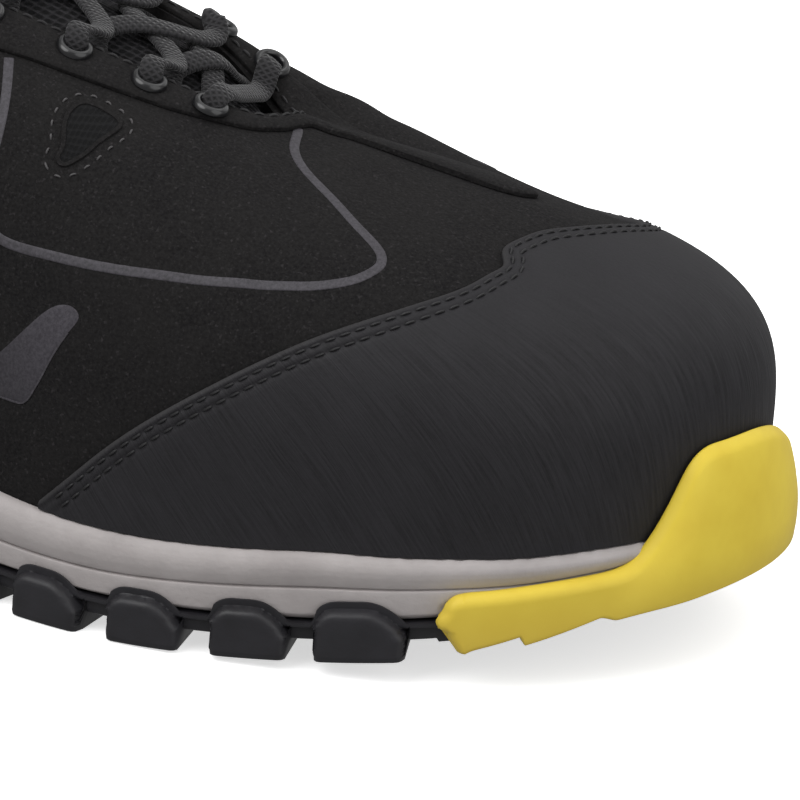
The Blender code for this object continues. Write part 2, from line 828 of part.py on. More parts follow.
def make_tread_bars(surface, cutters):
    """Chevron bars of the tread, as one cutter that the outsole joins."""
    shape = bmesh.new()
    for share in BAR_PLACES:
        x = (share - 0.5) * LENGTH
        outer = side_width(x, False) + TREAD_REACH + BAR_CHANNEL
        inner = side_width(x, True) - TREAD_REACH - BAR_CHANNEL
        middle = (outer + inner) / 2
        plan = [
            (x - BAR_LENGTH / 2, outer),
            (x + BAR_LENGTH / 2, outer),
            (x + BAR_LENGTH / 2 + BAR_POINT, middle),
            (x + BAR_LENGTH / 2, inner),
            (x - BAR_LENGTH / 2, inner),
            (x - BAR_LENGTH / 2 + BAR_POINT, middle),
        ]
        low = [shape.verts.new((px, py, float(ground(px)))) for px, py in plan]
        raised = PLATE_LOW + (PLATE_HIGH - PLATE_LOW) * 0.4
        high = [shape.verts.new((px, py, float(ground(px)) + raised)) for px, py in plan]
        for loop in (low, high):
            shape.faces.new((loop[0], loop[1], loop[2], loop[5]))
            shape.faces.new((loop[5], loop[2], loop[3], loop[4]))
        for i in range(6):
            n = (i + 1) % 6
            shape.faces.new((low[i], low[n], high[n], high[i]))
    bmesh.ops.recalc_face_normals(shape, faces=shape.faces)
    mesh = bpy.data.meshes.new("tread_bars")
    shape.to_mesh(mesh)
    shape.free()
    item = bpy.data.objects.new("tread_bars", mesh)
    item.data.materials.append(surface)
    item.hide_render = True
    item.display_type = "WIRE"
    cutters.objects.link(item)
    return item


def make_outsole(surface, collection, cutters):
    outer = lug_ring(EDGE.outer_side, False)
    inner = lug_ring(EDGE.inner_side, True)
    heel = (0.0, (1.0, 1.0))
    toe = (1.0, None)
    ring = [heel] + outer[::-1] + [toe] + inner
    sections = [outsole_section(place, lug) for place, lug in ring]
    rows = np.swapaxes(np.array(sections), 0, 1)
    item = skin("outsole", rows, surface, collection)
    join(item, make_tread_bars(surface, cutters))
    return item


def join(item, other):
    union = item.modifiers.new("Join", "BOOLEAN")
    union.operation = "UNION"
    union.solver = "EXACT"
    union.object = other


# Toe bumper

BUMPER_STATIONS = (0.0, 0.10, 0.20, 0.27, 0.32, 0.36, 0.40, 0.45, 0.50, 0.56, 0.59, 0.64, 0.70,
                   0.775, 0.80, 0.86, 0.93, 0.985, 1.0)
# Section of the bumper: share of its height, share of its thickness from its seat out
# Columns: height, out
BUMPER_SECTION = (
    (0.00, 0.00),
    (0.35, 0.00),
    (0.70, 0.00),
    (0.98, 0.05),
    (1.00, 0.45),
    (0.96, 0.85),
    (0.85, 1.00),
    (0.45, 1.00),
    (0.12, 0.97),
    (0.02, 0.75),
)
NOTCH_RISE = 0.0022
BUMPER_TOE_LIFT = 0.0012
BUMPER_BULGE = 0.0010
BULGE_SPAN = (0.25, 0.50)


def turn_at(place, height):
    """The turn at which the upper stands at a height over the foot line."""
    row = table(UPPER_ROWS, place, 2.0)
    low = foot_height(EDGE.at(place)[0])
    wall = (row[2] * COLLAR_HEIGHT - low) * row[3]
    rise = np.clip(height / wall, 0, 0.999)
    across = (1 - rise ** row[4]) ** (1 / row[4])
    return math.atan2(rise, across) / (math.pi / 2)


def bumper_point(place, out, height):
    """Point over the sole's side or the foot of the upper, at a height over the ground line."""
    x = EDGE.at(place)[0]
    base = float(ground(x))
    stack = float(foot_height(x)) - base
    if height <= stack:
        return side_point(place, out, base + height)
    return upper_face(place, turn_at(place, height - stack), out + UPPER_INSET)


def make_toe_bumper(surface, collection):
    shares = [(share, False) for share in BUMPER_STATIONS[::-1]]
    shares += [(share, True) for share in BUMPER_STATIONS[1:]]
    seat = CLEARANCE - BUMPER_SEAT
    sections = []
    for share, inner in shares:
        place = arm_place(share, inner)
        top = BUMPER_HEIGHT * float(table(BUMPER_ROWS, share)[0])
        low = BUMPER_FOOT + BUMPER_TOE_LIFT * (1 - share)
        if any(first < share < last for first, last in BUMPER_NOTCHES):
            low += NOTCH_RISE
        end = 0.75 if share == 1.0 else 1.0
        bulge = BUMPER_BULGE * (1 - smooth_step(share, *BULGE_SPAN))
        points = []
        for height, out in BUMPER_SECTION:
            reach = seat + out * end * (BUMPER_PROUD - seat)
            reach += bulge * out * (1 - (height - 0.4) ** 2 * 2)
            points.append(bumper_point(place, reach, low + (top - low) * height))
        sections.append(points)
    return tube("toe_bumper", sections, surface, collection)


# Laces and eyelets

EYELET_PLACES = (0.755, 0.690, 0.620, 0.545, 0.475)
EYELET_TURN = 0.925
LACE_THICKNESS = 0.0024
LACE_LIFT = 0.0005
LACE_EDGE_GAP = 0.0038
FIRST_CROSS_START = 0.35


def eyelet_frame(place):
    """Centre of an eyelet on the eyestay and the way that it faces."""
    out = CLEARANCE + OVERLAY_WALL + LACE_LIFT
    centre = upper_face(place, EYELET_TURN, out)
    facing = upper_face(place, EYELET_TURN, out + 1.0) - centre
    return centre, facing / np.linalg.norm(facing)


def make_eyelet(name, place, surface, collection):
    thick = EYELET_HEIGHT / 2
    centre, facing = eyelet_frame(place)
    bpy.ops.mesh.primitive_torus_add(
        major_segments=8, minor_segments=4, minor_radius=thick,
        major_radius=(EYELET_RADIUS + EYELET_HOLE) / 2)
    item = bpy.context.object
    item.name = name
    item.data.name = name
    rest = centre + facing * thick
    item.location = rest
    item.rotation_euler = Vector(facing.tolist()).to_track_quat("Z", "Y").to_euler()
    item.data.materials.append(surface)
    item.data.shade_smooth()
    for holder in item.users_collection:
        holder.objects.unlink(item)
    collection.objects.link(item)
    return item


def throat_place(place):
    """Place whose throat edge lies beside the eyelet of another place."""
    x = eyelet_frame(place)[0][0]
    steps = np.linspace(0.44, 0.99, 56)
    if place > 1:
        steps = 2 - steps
    edge = section(steps, 1.0)[:, 0]
    return float(np.interp(x, edge, steps))


def tongue_crown(place):
    """Middle of the tongue's top face and the way up from it."""
    points, middle, up = tongue_section(place)
    return middle, up


def lace_over_eyelet(place, toward):
    """Start of a lace on the eyestay, just clear of its eyelet, and its height over the edge."""
    centre, facing = eyelet_frame(place)
    lift = facing * (LACE_THICKNESS / 2)
    way = toward - centre
    way = way - facing * np.dot(way, facing)
    way /= np.linalg.norm(way)
    start = centre + lift + way * (EYELET_RADIUS + LACE_LIFT * 2)
    out = CLEARANCE + OVERLAY_WALL + LACE_LIFT + LACE_THICKNESS / 2
    edge = upper_face(throat_place(place), 1.0, out)
    return start, edge


def lace_under_edge(place):
    """End of a lace on the tongue, beside the throat edge that it goes under."""
    beside = throat_place(place)
    middle, up = tongue_crown(min(beside, 2 - beside))
    edge = upper_face(beside, 1.0, -UPPER_WALL - TONGUE_GAP)
    way = middle - edge
    way /= np.linalg.norm(way)
    return edge + way * LACE_EDGE_GAP + up * (LACE_THICKNESS / 2 + LACE_LIFT)


def lace_run(name, start, stop, start_on_top, stop_on_top, surface, collection):
    """A flat lace across the tongue, over the eyestay or under it at each end."""
    beside = [throat_place(place) for place in (start, stop)]
    crown, up = tongue_crown(sum(min(place, 2 - place) for place in beside) / 2)
    crown = crown + up * (LACE_THICKNESS / 2 + LACE_LIFT * 3)
    route = [crown]
    for place, on_top, first in ((start, start_on_top, True), (stop, stop_on_top, False)):
        if on_top:
            ends = list(lace_over_eyelet(place, crown))
        else:
            ends = [lace_under_edge(place)]
        route = ends + route if first else route + ends[::-1]
    route = np.array(route)
    steps = np.append(0, np.cumsum(np.linalg.norm(np.diff(route, axis=0), axis=1)))
    path = spline(steps, route, np.linspace(0, steps[-1], 7))
    sections = []
    for k, centre in enumerate(path):
        way = path[min(k + 1, 6)] - path[max(k - 1, 0)]
        way /= np.linalg.norm(way)
        side = np.cross(up, way)
        side /= np.linalg.norm(side)
        wide = side * LACE_WIDTH / 2
        tall = np.cross(way, side) * LACE_THICKNESS / 2
        sections.append([centre + wide, centre + tall, centre - wide, centre - tall])
    return tube(name, sections, surface, collection)


def make_laces(surface, collection, cutters):
    first = EYELET_PLACES[0]
    lace_run("lace_bar", first, 2 - first, True, True, surface, collection)
    for k in range(len(EYELET_PLACES) - 1):
        low = EYELET_PLACES[k]
        high = EYELET_PLACES[k + 1]
        on_top = k > 0
        if not on_top:
            low += (high - low) * FIRST_CROSS_START
        name = f"lace_cross_{k + 1}"
        one = lace_run(name, low, 2 - high, on_top, False, surface, collection)
        other = lace_run(name + "_back", 2 - low, high, on_top, False, surface, cutters)
        other.hide_render = True
        other.display_type = "WIRE"
        join(one, other)


def main():
    clear_scene()
    collection = bpy.data.collections.new("safety_sneaker")
    cutters = bpy.data.collections.new("cutters")
    bpy.context.scene.collection.children.link(collection)
    bpy.context.scene.collection.children.link(cutters)
    rubber = material("black_rubber", (0.020, 0.020, 0.022), 0.6)
    foam = material("grey_foam", (0.40, 0.37, 0.37), 0.7)
    guard = material("yellow_rubber", (0.68, 0.55, 0.055), 0.45)
    suede = material("black_suede", (0.012, 0.012, 0.013), 0.95)
    coating = material("scuff_coating", (0.025, 0.023, 0.026), 0.7)
    textile = material("black_textile", (0.015, 0.015, 0.016), 0.9)
    make_outsole(rubber, collection, cutters)
    make_midsole(foam, collection)
    make_toe_bumper(guard, collection)
    make_upper(suede, collection)
    make_toe_cap(coating, collection)
    make_eyestay(suede, collection)
    make_heel_counter(coating, collection)
    make_collar(textile, collection)
    make_tongue(textile, collection)
    make_insole(textile, collection)
    make_laces(textile, collection, cutters)
    for k, place in enumerate(EYELET_PLACES):
        make_eyelet(f"eyelet_outer_{k + 1}", place, rubber, collection)
        make_eyelet(f"eyelet_inner_{k + 1}", 2 - place, rubber, collection)


main()
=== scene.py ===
# %% [markdown]
# # Safety sneaker for the right foot
# A low work shoe: a suede upper with a coated toe cap, a foam midsole, a lugged rubber outsole and
# a yellow toe bumper. The construction is already made, so this lesson gives every piece its finer
# form and its finish. It starts by loading the construction, whose places and sizes it keeps.

# %% Load the construction
import math

import bpy
import numpy as np
from mathutils import Matrix, Vector


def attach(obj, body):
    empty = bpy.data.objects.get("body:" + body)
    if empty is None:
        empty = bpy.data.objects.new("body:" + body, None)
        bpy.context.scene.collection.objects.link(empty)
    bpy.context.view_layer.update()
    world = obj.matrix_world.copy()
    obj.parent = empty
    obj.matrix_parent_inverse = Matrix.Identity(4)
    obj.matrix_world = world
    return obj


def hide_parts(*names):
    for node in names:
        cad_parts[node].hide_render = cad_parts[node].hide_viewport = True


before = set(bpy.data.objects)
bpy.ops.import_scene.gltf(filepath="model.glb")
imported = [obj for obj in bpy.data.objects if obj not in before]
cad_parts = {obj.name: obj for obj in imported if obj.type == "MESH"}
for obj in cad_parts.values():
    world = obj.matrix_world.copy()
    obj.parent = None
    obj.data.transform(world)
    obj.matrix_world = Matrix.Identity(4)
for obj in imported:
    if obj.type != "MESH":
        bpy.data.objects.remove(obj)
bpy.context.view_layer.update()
print("nodes to dress:", len(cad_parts))

# %% [markdown]
# ## The sizes that everything follows
# A shoe is made round a last, a solid foot shape. Its main sizes are the sole's length, the width
# at the ball, the collar height and the two stack heights. Tables of shares of those sizes say
# where the outline and the upper's edge run, so one changed size moves every piece that needs it.

# %% Sizes in metres
MM = 0.001
LENGTH = 0.300
BALL_WIDTH = 0.112
COLLAR_HEIGHT = 0.106
HEEL_STACK = 0.0332
FOREFOOT_STACK = 0.0214
TOE_SPRING = 0.0154
ARCH_LIFT = 0.0025
HEEL_BEVEL = 0.0030
SPRING_START = 0.632
ARCH_SPAN = (0.25, 0.48)
BEVEL_SPAN = 0.07
UPPER_INSET = 0.0030
UPPER_WALL = 0.0022
LASTING_MARGIN = 0.0085
RIM_DEPTH = 0.0024
CLEARANCE = 0.0003
SOLE_GAP = 0.0005
OVERLAY_WALL = 0.0014

# Outline of the sole edge: shares along the length and across the ball width
OUTLINE = np.array([
    (0.000, 0.028), (0.022, -0.162), (0.100, -0.312), (0.250, -0.357), (0.420, -0.380),
    (0.620, -0.508), (0.780, -0.455), (0.910, -0.324), (0.976, -0.097), (1.000, 0.115),
    (0.970, 0.355), (0.877, 0.444), (0.740, 0.500), (0.600, 0.440), (0.430, 0.343),
    (0.260, 0.353), (0.110, 0.348), (0.022, 0.218),
])
# Share along the length, share that the heel adds to the stack; the upper laps lower at the toe
STACK = ((0.00, 1.00), (0.15, 0.94), (0.30, 0.82), (0.45, 0.45), (0.568, 0.08), (0.60, 0.035),
         (0.65, 0.01), (0.70, 0.02), (0.75, 0.045), (0.79, 0.055), (0.83, -0.02), (0.875, -0.115),
         (0.915, -0.255), (0.948, -0.385), (0.975, -0.53), (1.00, -0.60))
# One row for each place round the sole: place, edge along, edge out, edge height, share of the
# height where the wall turns over, fullness of the turn, share of the turn used, belly
UPPER = (
    (0.00, 0.042, 0.028, 1.00, 1.00, 2.0, 0.50, 0.040),
    (0.10, 0.068, -0.150, 0.94, 1.00, 2.0, 0.50, 0.032),
    (0.22, 0.150, -0.245, 0.80, 1.00, 2.0, 0.55, 0.020),
    (0.34, 0.265, -0.235, 0.84, 0.96, 2.1, 0.62, 0.012),
    (0.46, 0.385, -0.155, 1.01, 0.86, 2.3, 0.80, 0.006),
    (0.60, 0.500, -0.080, 0.98, 0.76, 2.9, 0.97, 0.000),
    (0.74, 0.590, -0.035, 0.90, 0.712, 3.8, 1.00, 0.000),
    (0.86, 0.636, 0.010, 0.855, 0.731, 4.6, 1.00, 0.002),
    (1.00, 0.650, 0.082, 0.839, 0.740, 5.15, 1.00, 0.005),
    (1.14, 0.636, 0.143, 0.812, 0.735, 5.2, 1.00, 0.005),
    (1.26, 0.590, 0.171, 0.90, 0.711, 3.65, 1.00, 0.002),
    (1.40, 0.500, 0.185, 0.98, 0.788, 2.9, 0.97, 0.000),
    (1.54, 0.385, 0.220, 1.01, 0.86, 2.3, 0.80, 0.006),
    (1.66, 0.265, 0.275, 0.84, 0.96, 2.1, 0.62, 0.012),
    (1.78, 0.150, 0.285, 0.80, 1.00, 2.0, 0.55, 0.020),
    (1.90, 0.068, 0.205, 0.94, 1.00, 2.0, 0.50, 0.032),
)
print("sole length and ball width, mm:", round(LENGTH / MM), round(BALL_WIDTH / MM))


# %% Splines that read the tables
def spline(knots, values, at, period=None):
    """Cubic spline through values at knots, natural at its ends or closed over a period."""
    knots = np.asarray(knots, float)
    values = np.asarray(values, float)
    shape = values.shape[1:]
    values = values.reshape(len(knots), -1)
    if period is not None:
        knots = np.append(knots, knots[0] + period)
        values = np.vstack([values, values[:1]])
    step = np.diff(knots)
    slope = np.diff(values, axis=0) / step[:, None]
    count = len(knots)
    matrix = np.zeros((count, count))
    right = np.zeros_like(values)
    for i in range(1, count - 1):
        matrix[i, i - 1:i + 2] = step[i - 1], 2 * (step[i - 1] + step[i]), step[i]
        right[i] = 6 * (slope[i] - slope[i - 1])
    matrix[0, 0] = 1
    matrix[-1, -1] = 1
    if period is not None:
        matrix[0, -1] = -1
        matrix[-1] = 0
        matrix[-1, [0, 1, -2, -1]] = 2 * step[0], step[0], step[-1], 2 * step[-1]
        right[-1] = 6 * (slope[0] - slope[-1])
    bend = np.linalg.solve(matrix, right)
    at = np.asarray(at, float)
    flat = at.ravel()
    if period is not None:
        flat = knots[0] + (flat - knots[0]) % period
    flat = np.clip(flat, knots[0], knots[-1])
    i = np.clip(np.searchsorted(knots, flat, side="right") - 1, 0, count - 2)
    gap = step[i][:, None]
    a = ((knots[i + 1] - flat)[:, None]) / gap
    b = 1 - a
    bent = ((a ** 3 - a) * bend[i] + (b ** 3 - b) * bend[i + 1]) * gap ** 2 / 6
    return (a * values[i] + b * values[i + 1] + bent).reshape(at.shape + shape)


def table(rows, at, period=None):
    """Columns after the first, read where the first one is at."""
    rows = np.asarray(rows, float)
    return spline(rows[:, 0], rows[:, 1:], at, period)


def smooth_step(value, low, high):
    """0 below low, 1 above high, and a soft S between."""
    share = np.clip((value - low) / (high - low), 0.0, 1.0)
    return share * share * (3 - 2 * share)


def unit(vectors):
    """Vectors divided by their lengths."""
    return vectors / np.linalg.norm(vectors, axis=-1, keepdims=True)


# %% [markdown]
# ## The sole edge and the upper's surface
# Every piece of a shoe lies on one of two curves: the edge of the sole, a closed line on the
# floor, and the upper, a surface that rises from it. The edge is read by a place that runs from
# 0 at the heel over 1 at the toe back to 2, and the upper by that place and a turn from 0 at the
# sole to 1 at the collar or throat. Two numbers then find any stitch or seam on the shoe.

# %% The sole edge
class SoleEdge:
    """Closed spline through the outline table, read by its own length."""

    def __init__(self, samples=3200):
        corners = (OUTLINE - (0.5, 0)) * (LENGTH, BALL_WIDTH)
        chords = np.linalg.norm(np.diff(np.vstack([corners, corners[:1]]), axis=0), axis=1)
        knots = np.append(0, np.cumsum(chords))
        self.points = spline(knots[:-1], corners, np.linspace(0, knots[-1], samples + 1), knots[-1])
        self.points[-1] = self.points[0]
        steps = np.linalg.norm(np.diff(self.points, axis=0), axis=1)
        self.arc = np.append(0, np.cumsum(steps))
        self.outer_side = self.arc[int(np.argmax(self.points[:, 0]))]
        self.inner_side = self.arc[-1] - self.outer_side

    def arc_at(self, place):
        """Length along the edge from the heel to a place, over the outer side first."""
        inner = self.outer_side + (place - 1) * self.inner_side
        return np.where(place <= 1, place * self.outer_side, inner)

    def at(self, place):
        """Points x, y: the arc length for the place, looked up in the sampled curve."""
        arc = self.arc_at(np.asarray(place, float) % 2)
        return np.stack([np.interp(arc, self.arc, self.points[:, k]) for k in (0, 1)], -1)

    def normal(self, place):
        """Outward normals: the tangent turned by a quarter."""
        tangent = unit(self.at(np.asarray(place) + 0.004) - self.at(np.asarray(place) - 0.004))
        return np.stack([tangent[..., 1], -tangent[..., 0]], -1)


EDGE = SoleEdge()
print("sole edge, mm:", round(EDGE.outer_side / MM, 1), round(EDGE.inner_side / MM, 1))


# %% Ground line and foot line
def toe_rise(share):
    """Toe spring: a parabola from where the sole leaves the floor."""
    return TOE_SPRING * np.clip((share - SPRING_START) / (1 - SPRING_START), 0, 1) ** 2


def ground(x):
    """Height of the tread's lowest line: the toe spring, a low arch and a small heel bevel."""
    share = x / LENGTH + 0.5
    middle = np.mean(ARCH_SPAN)
    arch = smooth_step(share, ARCH_SPAN[0], middle) * (1 - smooth_step(share, middle, ARCH_SPAN[1]))
    back = np.clip(1 - share / BEVEL_SPAN, 0, 1)
    return toe_rise(share) + ARCH_LIFT * arch + HEEL_BEVEL * back ** 2


def foot_height(x):
    """Height of the line where the upper meets the sole: the stack and the toe spring."""
    share = x / LENGTH + 0.5
    heel = table(STACK, share)[..., 0]
    return FOREFOOT_STACK + (HEEL_STACK - FOREFOOT_STACK) * heel + toe_rise(share)


def side_point(place, out, height):
    """Point out from the sole edge along its normal, at a height over the floor."""
    rim = EDGE.at(place) + EDGE.normal(place) * np.asarray(out)[..., None]
    height = np.broadcast_to(height, rim.shape[:-1])
    return np.concatenate([rim, height[..., None]], -1)


def foot_point(place, out, lift):
    """Point out from the sole edge, at a lift over the foot line where it lies."""
    point = side_point(place, out, 0.0)
    point[..., 2] = foot_height(point[..., 0]) + lift
    return point


ends = np.array([-LENGTH / 2, LENGTH / 2])
print("foot line at heel and toe, mm:", (foot_height(ends) / MM).round(1))


# %% The upper's surface
def rounded_corner(angle, full):
    """Shares across and up of a superellipse quarter, squarer as full grows."""
    across = np.cos(angle)
    up = np.sin(angle)
    reach = (across ** full + up ** full) ** (-1 / full)
    return reach * across, reach * up


def section(place, turn):
    """Point of the outer face: a superellipse quarter from the foot to the edge of the table."""
    place, turn = np.broadcast_arrays(np.asarray(place, float), np.asarray(turn, float))
    row = table(UPPER, place, 2.0)
    rim = EDGE.at(place)
    normal = EDGE.normal(place)
    foot = rim - normal * UPPER_INSET
    low = foot_height(rim[..., 0])
    edge = np.stack([(row[..., 0] - 0.5) * LENGTH, row[..., 1] * BALL_WIDTH], -1)
    top = row[..., 2] * COLLAR_HEIGHT
    wall = (top - low) * row[..., 3]
    full = row[..., 4]
    last = np.clip(row[..., 5], 0, 1) * math.pi / 2
    across, up = rounded_corner(np.clip(turn, 0, 1) * last, full)
    last_across, last_up = rounded_corner(last, full)
    inward = (1 - across) / (1 - last_across)
    rise = up / last_up
    belly = row[..., 6] * BALL_WIDTH * np.sin(math.pi * np.clip(rise, 0, 1))
    flat = foot + (edge - foot) * inward[..., None] + normal * belly[..., None]
    height = low + wall * rise + (top - low - wall) * inward
    return np.concatenate([flat, height[..., None]], -1)


def ways(place, turn, step=0.004):
    """Slopes of the face round the shoe and up the wall, for one unit of place and of turn."""
    low = np.clip(turn, 0, 1 - 2 * step)
    round_way = (section(place + step, turn) - section(place - step, turn)) / (2 * step)
    up_way = (section(place, low + 2 * step) - section(place, low)) / (2 * step)
    return round_way, up_way


def face(place, turn, out=0.0):
    """Point at a distance out from the outer face, along its normal."""
    place, turn, out = np.broadcast_arrays(
        np.asarray(place, float), np.asarray(turn, float), np.asarray(out, float))
    round_way, up_way = ways(place, turn)
    return section(place, turn) + unit(np.cross(round_way, up_way)) * out[..., None]


def face_normal(place, turn):
    """Unit normal of the outer face: the cross product of its two slopes."""
    return unit(np.cross(*ways(place, turn)))


def beside(place, turn, distance):
    """Place and turn of a line moved sideways over the face by a distance, up the wall for plus.

    The sideways way is the normal crossed with the line's own way. The two slopes of the face
    give a small matrix of their products, and solving it turns metres into place and turn."""
    round_way, up_way = ways(place, turn)
    normal = unit(np.cross(round_way, up_way))
    along = unit(np.gradient(section(place, turn), axis=0))
    side = unit(np.cross(normal, along)) * np.asarray(distance)[..., None]
    a = (round_way ** 2).sum(-1)
    b = (round_way * up_way).sum(-1)
    c = (up_way ** 2).sum(-1)
    p = (round_way * side).sum(-1)
    q = (up_way * side).sum(-1)
    whole = a * c - b * b
    return place + (p * c - q * b) / whole, turn + (q * a - p * b) / whole


print("toe tip at", section(1.0, 0.0).round(4))

# %% [markdown]
# ## Meshes from arrays
# Each piece is a grid of points worked out as a whole array. A loft joins closed sections along
# a path, or rings round the sole from its bottom to its top, and closes both ends. Every piece is
# closed, so the sign of the enclosed volume shows whether its faces point outwards.

# %% From arrays to pieces
def signed_volume(points, quads):
    """Volume inside the quads: the sum of the tetrahedra between the origin and their halves."""
    a, b, c, d = (points[quads[:, k]] for k in range(4))
    first = np.einsum("ij,ij->i", a, np.cross(b, c)).sum()
    second = np.einsum("ij,ij->i", a, np.cross(c, d)).sum()
    return (first + second) / 6


def grid_quads(rows, columns, close_rows, close_columns):
    """Quads of a grid of numbered points, joined past the last row or column where it closes."""
    number = np.arange(rows * columns).reshape(rows, columns)
    if close_rows:
        number = np.vstack([number, number[:1]])
    if close_columns:
        number = np.hstack([number, number[:, :1]])
    corners = (number[:-1, :-1], number[1:, :-1], number[1:, 1:], number[:-1, 1:])
    return np.stack(corners, -1).reshape(-1, 4)


PIECES = []


def piece(name, points, quads, finish, replaced=(), slot=None, values=None, uv=None, sharp=40):
    """A mesh object from arrays, outward and smooth, riding on the shoe's one body."""
    points = np.asarray(points, float).reshape(-1, 3)
    quads = np.asarray(quads, int)
    if signed_volume(points, quads) < 0:
        quads = quads[:, ::-1]
    mesh = bpy.data.meshes.new(name)
    mesh.from_pydata(points.tolist(), [], quads.tolist())
    for label, numbers in (values or {}).items():
        layer = mesh.attributes.new(label, "FLOAT", "POINT")
        layer.data.foreach_set("value", np.asarray(numbers, np.float32).ravel())
    if uv is not None:
        layer = mesh.uv_layers.new(name="Surface")
        corners = np.zeros(len(mesh.loops), int)
        mesh.loops.foreach_get("vertex_index", corners)
        layer.data.foreach_set("uv", np.asarray(uv, float).reshape(-1, 2)[corners].ravel())
    mesh.materials.append(finish)
    mesh.shade_smooth()
    mesh.set_sharp_from_angle(angle=math.radians(sharp))
    item = bpy.data.objects.new(name, mesh)
    bpy.context.scene.collection.objects.link(item)
    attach(item, "root")
    if replaced:
        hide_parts(*replaced)
    PIECES.append((name, len(quads) * 2))
    return item


def ladder(count):
    """Quads over a closed ring of points, each joining a pair to the pair across from it."""
    first = np.arange(count // 2 - 1)
    return np.stack([first, first + 1, count - 2 - first, count - 1 - first], -1)


def skin_quads(rows, columns, closed=False):
    """Quads over closed sections in a row, with a ladder of quads over each end of an open row."""
    quads = [grid_quads(rows, columns, closed, True)]
    if not closed:
        quads.append(ladder(columns))
        quads.append(ladder(columns)[:, ::-1] + (rows - 1) * columns)
    return np.vstack(quads)


def loft(name, sections, finish, closed=False, **more):
    """Closed sections joined along a path, or round rings joined from the bottom to the top."""
    sections = np.asarray(sections, float)
    return piece(name, sections, skin_quads(*sections.shape[:2], closed), finish, **more)


def round_places(count):
    """Places round the whole shoe, heel last and first, so that pairs lie across from each other."""
    return (np.arange(count) + 0.5) * 2 / count


def distance_to(points, line):
    """Distance of each point to the nearest one of a dense line, in blocks to save memory."""
    flat = points.reshape(-1, line.shape[-1])
    blocks = np.array_split(flat, max(1, len(flat) // 3000))
    near = [np.sqrt(((b[:, None] - line[None]) ** 2).sum(-1).min(1)) for b in blocks]
    return np.concatenate(near).reshape(points.shape[:-1])


# %% [markdown]
# ## Finishes
# Each finish starts from the real stuff and how it was worked. A Principled shader takes its
# colour from a hex value, and noise at a real size in millimetres gives nap, grain or brushing.
# Patterns read the object's own place in metres, or a surface map where they follow the piece.

# %% Colours and nodes
NOISE = "ShaderNodeTexNoise"
RANGE = "ShaderNodeMapRange"
MIX = "ShaderNodeMix"
COLOURS = {"data_type": "RGBA"}


def linear(code):
    """Linear light of an sRGB hex colour, which is what shader sockets expect."""
    parts = [int(code[k:k + 2], 16) / 255 for k in (1, 3, 5)]
    return tuple(c / 12.92 if c <= 0.04045 else ((c + 0.055) / 1.055) ** 2.4 for c in parts) + (1.0,)


def add(tree, kind, links, settings=None, output=0):
    """Adds a node and gives one of its outputs. Links set each input to a value or an output."""
    made = tree.nodes.new(kind)
    for key, value in (settings or {}).items():
        setattr(made, key, value)
    for key, value in links.items():
        if isinstance(value, bpy.types.NodeSocket):
            tree.links.new(value, made.inputs[key])
        else:
            made.inputs[key].default_value = value
    return made.outputs[output]


def start_finish(name, sockets):
    """A material with a Principled shader, and the outputs that give places on the piece."""
    surface = bpy.data.materials.new(name)
    surface.use_nodes = True
    tree = surface.node_tree
    shader = tree.nodes["Principled BSDF"]
    for key, value in sockets.items():
        shader.inputs[key].default_value = value
    return surface, tree, shader, tree.nodes.new("ShaderNodeTexCoord").outputs


def blotches(vector, size, detail=2.0, roughness=0.6):
    """Inputs of a noise whose blotches are about size metres wide: its scale is 0.6 over that."""
    return {"Vector": vector, "Scale": 0.6 / size, "Detail": detail, "Roughness": roughness}


def span(value, low, high, to_low=0.0, to_high=1.0):
    """Inputs that map a value from low and high to two other values."""
    return {"Value": value, "From Min": low, "From Max": high, "To Min": to_low, "To Max": to_high}


def mottle(tree, noise, ends, first, second, most=1.0):
    """Colour that a noise blends from first to second, as it goes from one end to the other."""
    share = add(tree, RANGE, span(noise, *ends, 0.0, most))
    return add(tree, MIX, {0: share, 6: first, 7: second}, COLOURS, 2)


def end_finish(surface, tree, shader, tone, reliefs, rough=None):
    """Links colour and roughness, and lays each relief of a real depth in metres on the last one."""
    tree.links.new(tone, shader.inputs["Base Color"])
    if rough is not None:
        tree.links.new(rough, shader.inputs["Roughness"])
    under = {}
    for height, depth in reliefs:
        links = {"Height": height, "Distance": depth, "Strength": 1.0, **under}
        under = {"Normal": add(tree, "ShaderNodeBump", links)}
    tree.links.new(under["Normal"], shader.inputs["Normal"])
    return surface


# %% [markdown]
# ### Suede and coated leather
# The upper is black suede, leather whose inner side is sanded to a short nap. The nap scatters
# light, so it is rough, has a weak sheen and shows specks where fibres stand up. The toe cap and
# the heel counter are split leather under a thick coat of polyurethane, brushed while it was soft,
# which leaves fine lines that run down and forward.

# %% Suede
def make_suede():
    """Black nap over slow clouds of wear, with specks. Real nap is finer; it is drawn to show."""
    surface, tree, shader, place = start_finish("black_suede", {
        "Roughness": 0.9, "Specular IOR Level": 0.12, "Sheen Weight": 0.03,
        "Sheen Roughness": 0.5, "Sheen Tint": linear("#8A878C")})
    where = place["Object"]
    nap = add(tree, NOISE, blotches(where, 0.40 * MM, 3.0, 0.65))
    cloud = add(tree, NOISE, blotches(where, 9 * MM, 3.0, 0.55))
    fibre = add(tree, NOISE, blotches(where, 0.45 * MM, 1.0, 0.5))
    deep = mottle(tree, cloud, (0.35, 0.65), linear("#131213"), linear("#1A1919"))
    napped = mottle(tree, nap, (0.34, 0.72), deep, linear("#222121"))
    specked = mottle(tree, fibre, (0.62, 0.80), napped, linear("#302E2F"))
    rough = add(tree, RANGE, span(nap, 0.3, 0.7, 0.95, 0.80))
    return end_finish(surface, tree, shader, specked, [(cloud, 0.5 * MM), (nap, 0.14 * MM)], rough)


SUEDE = make_suede()
print("suede made")


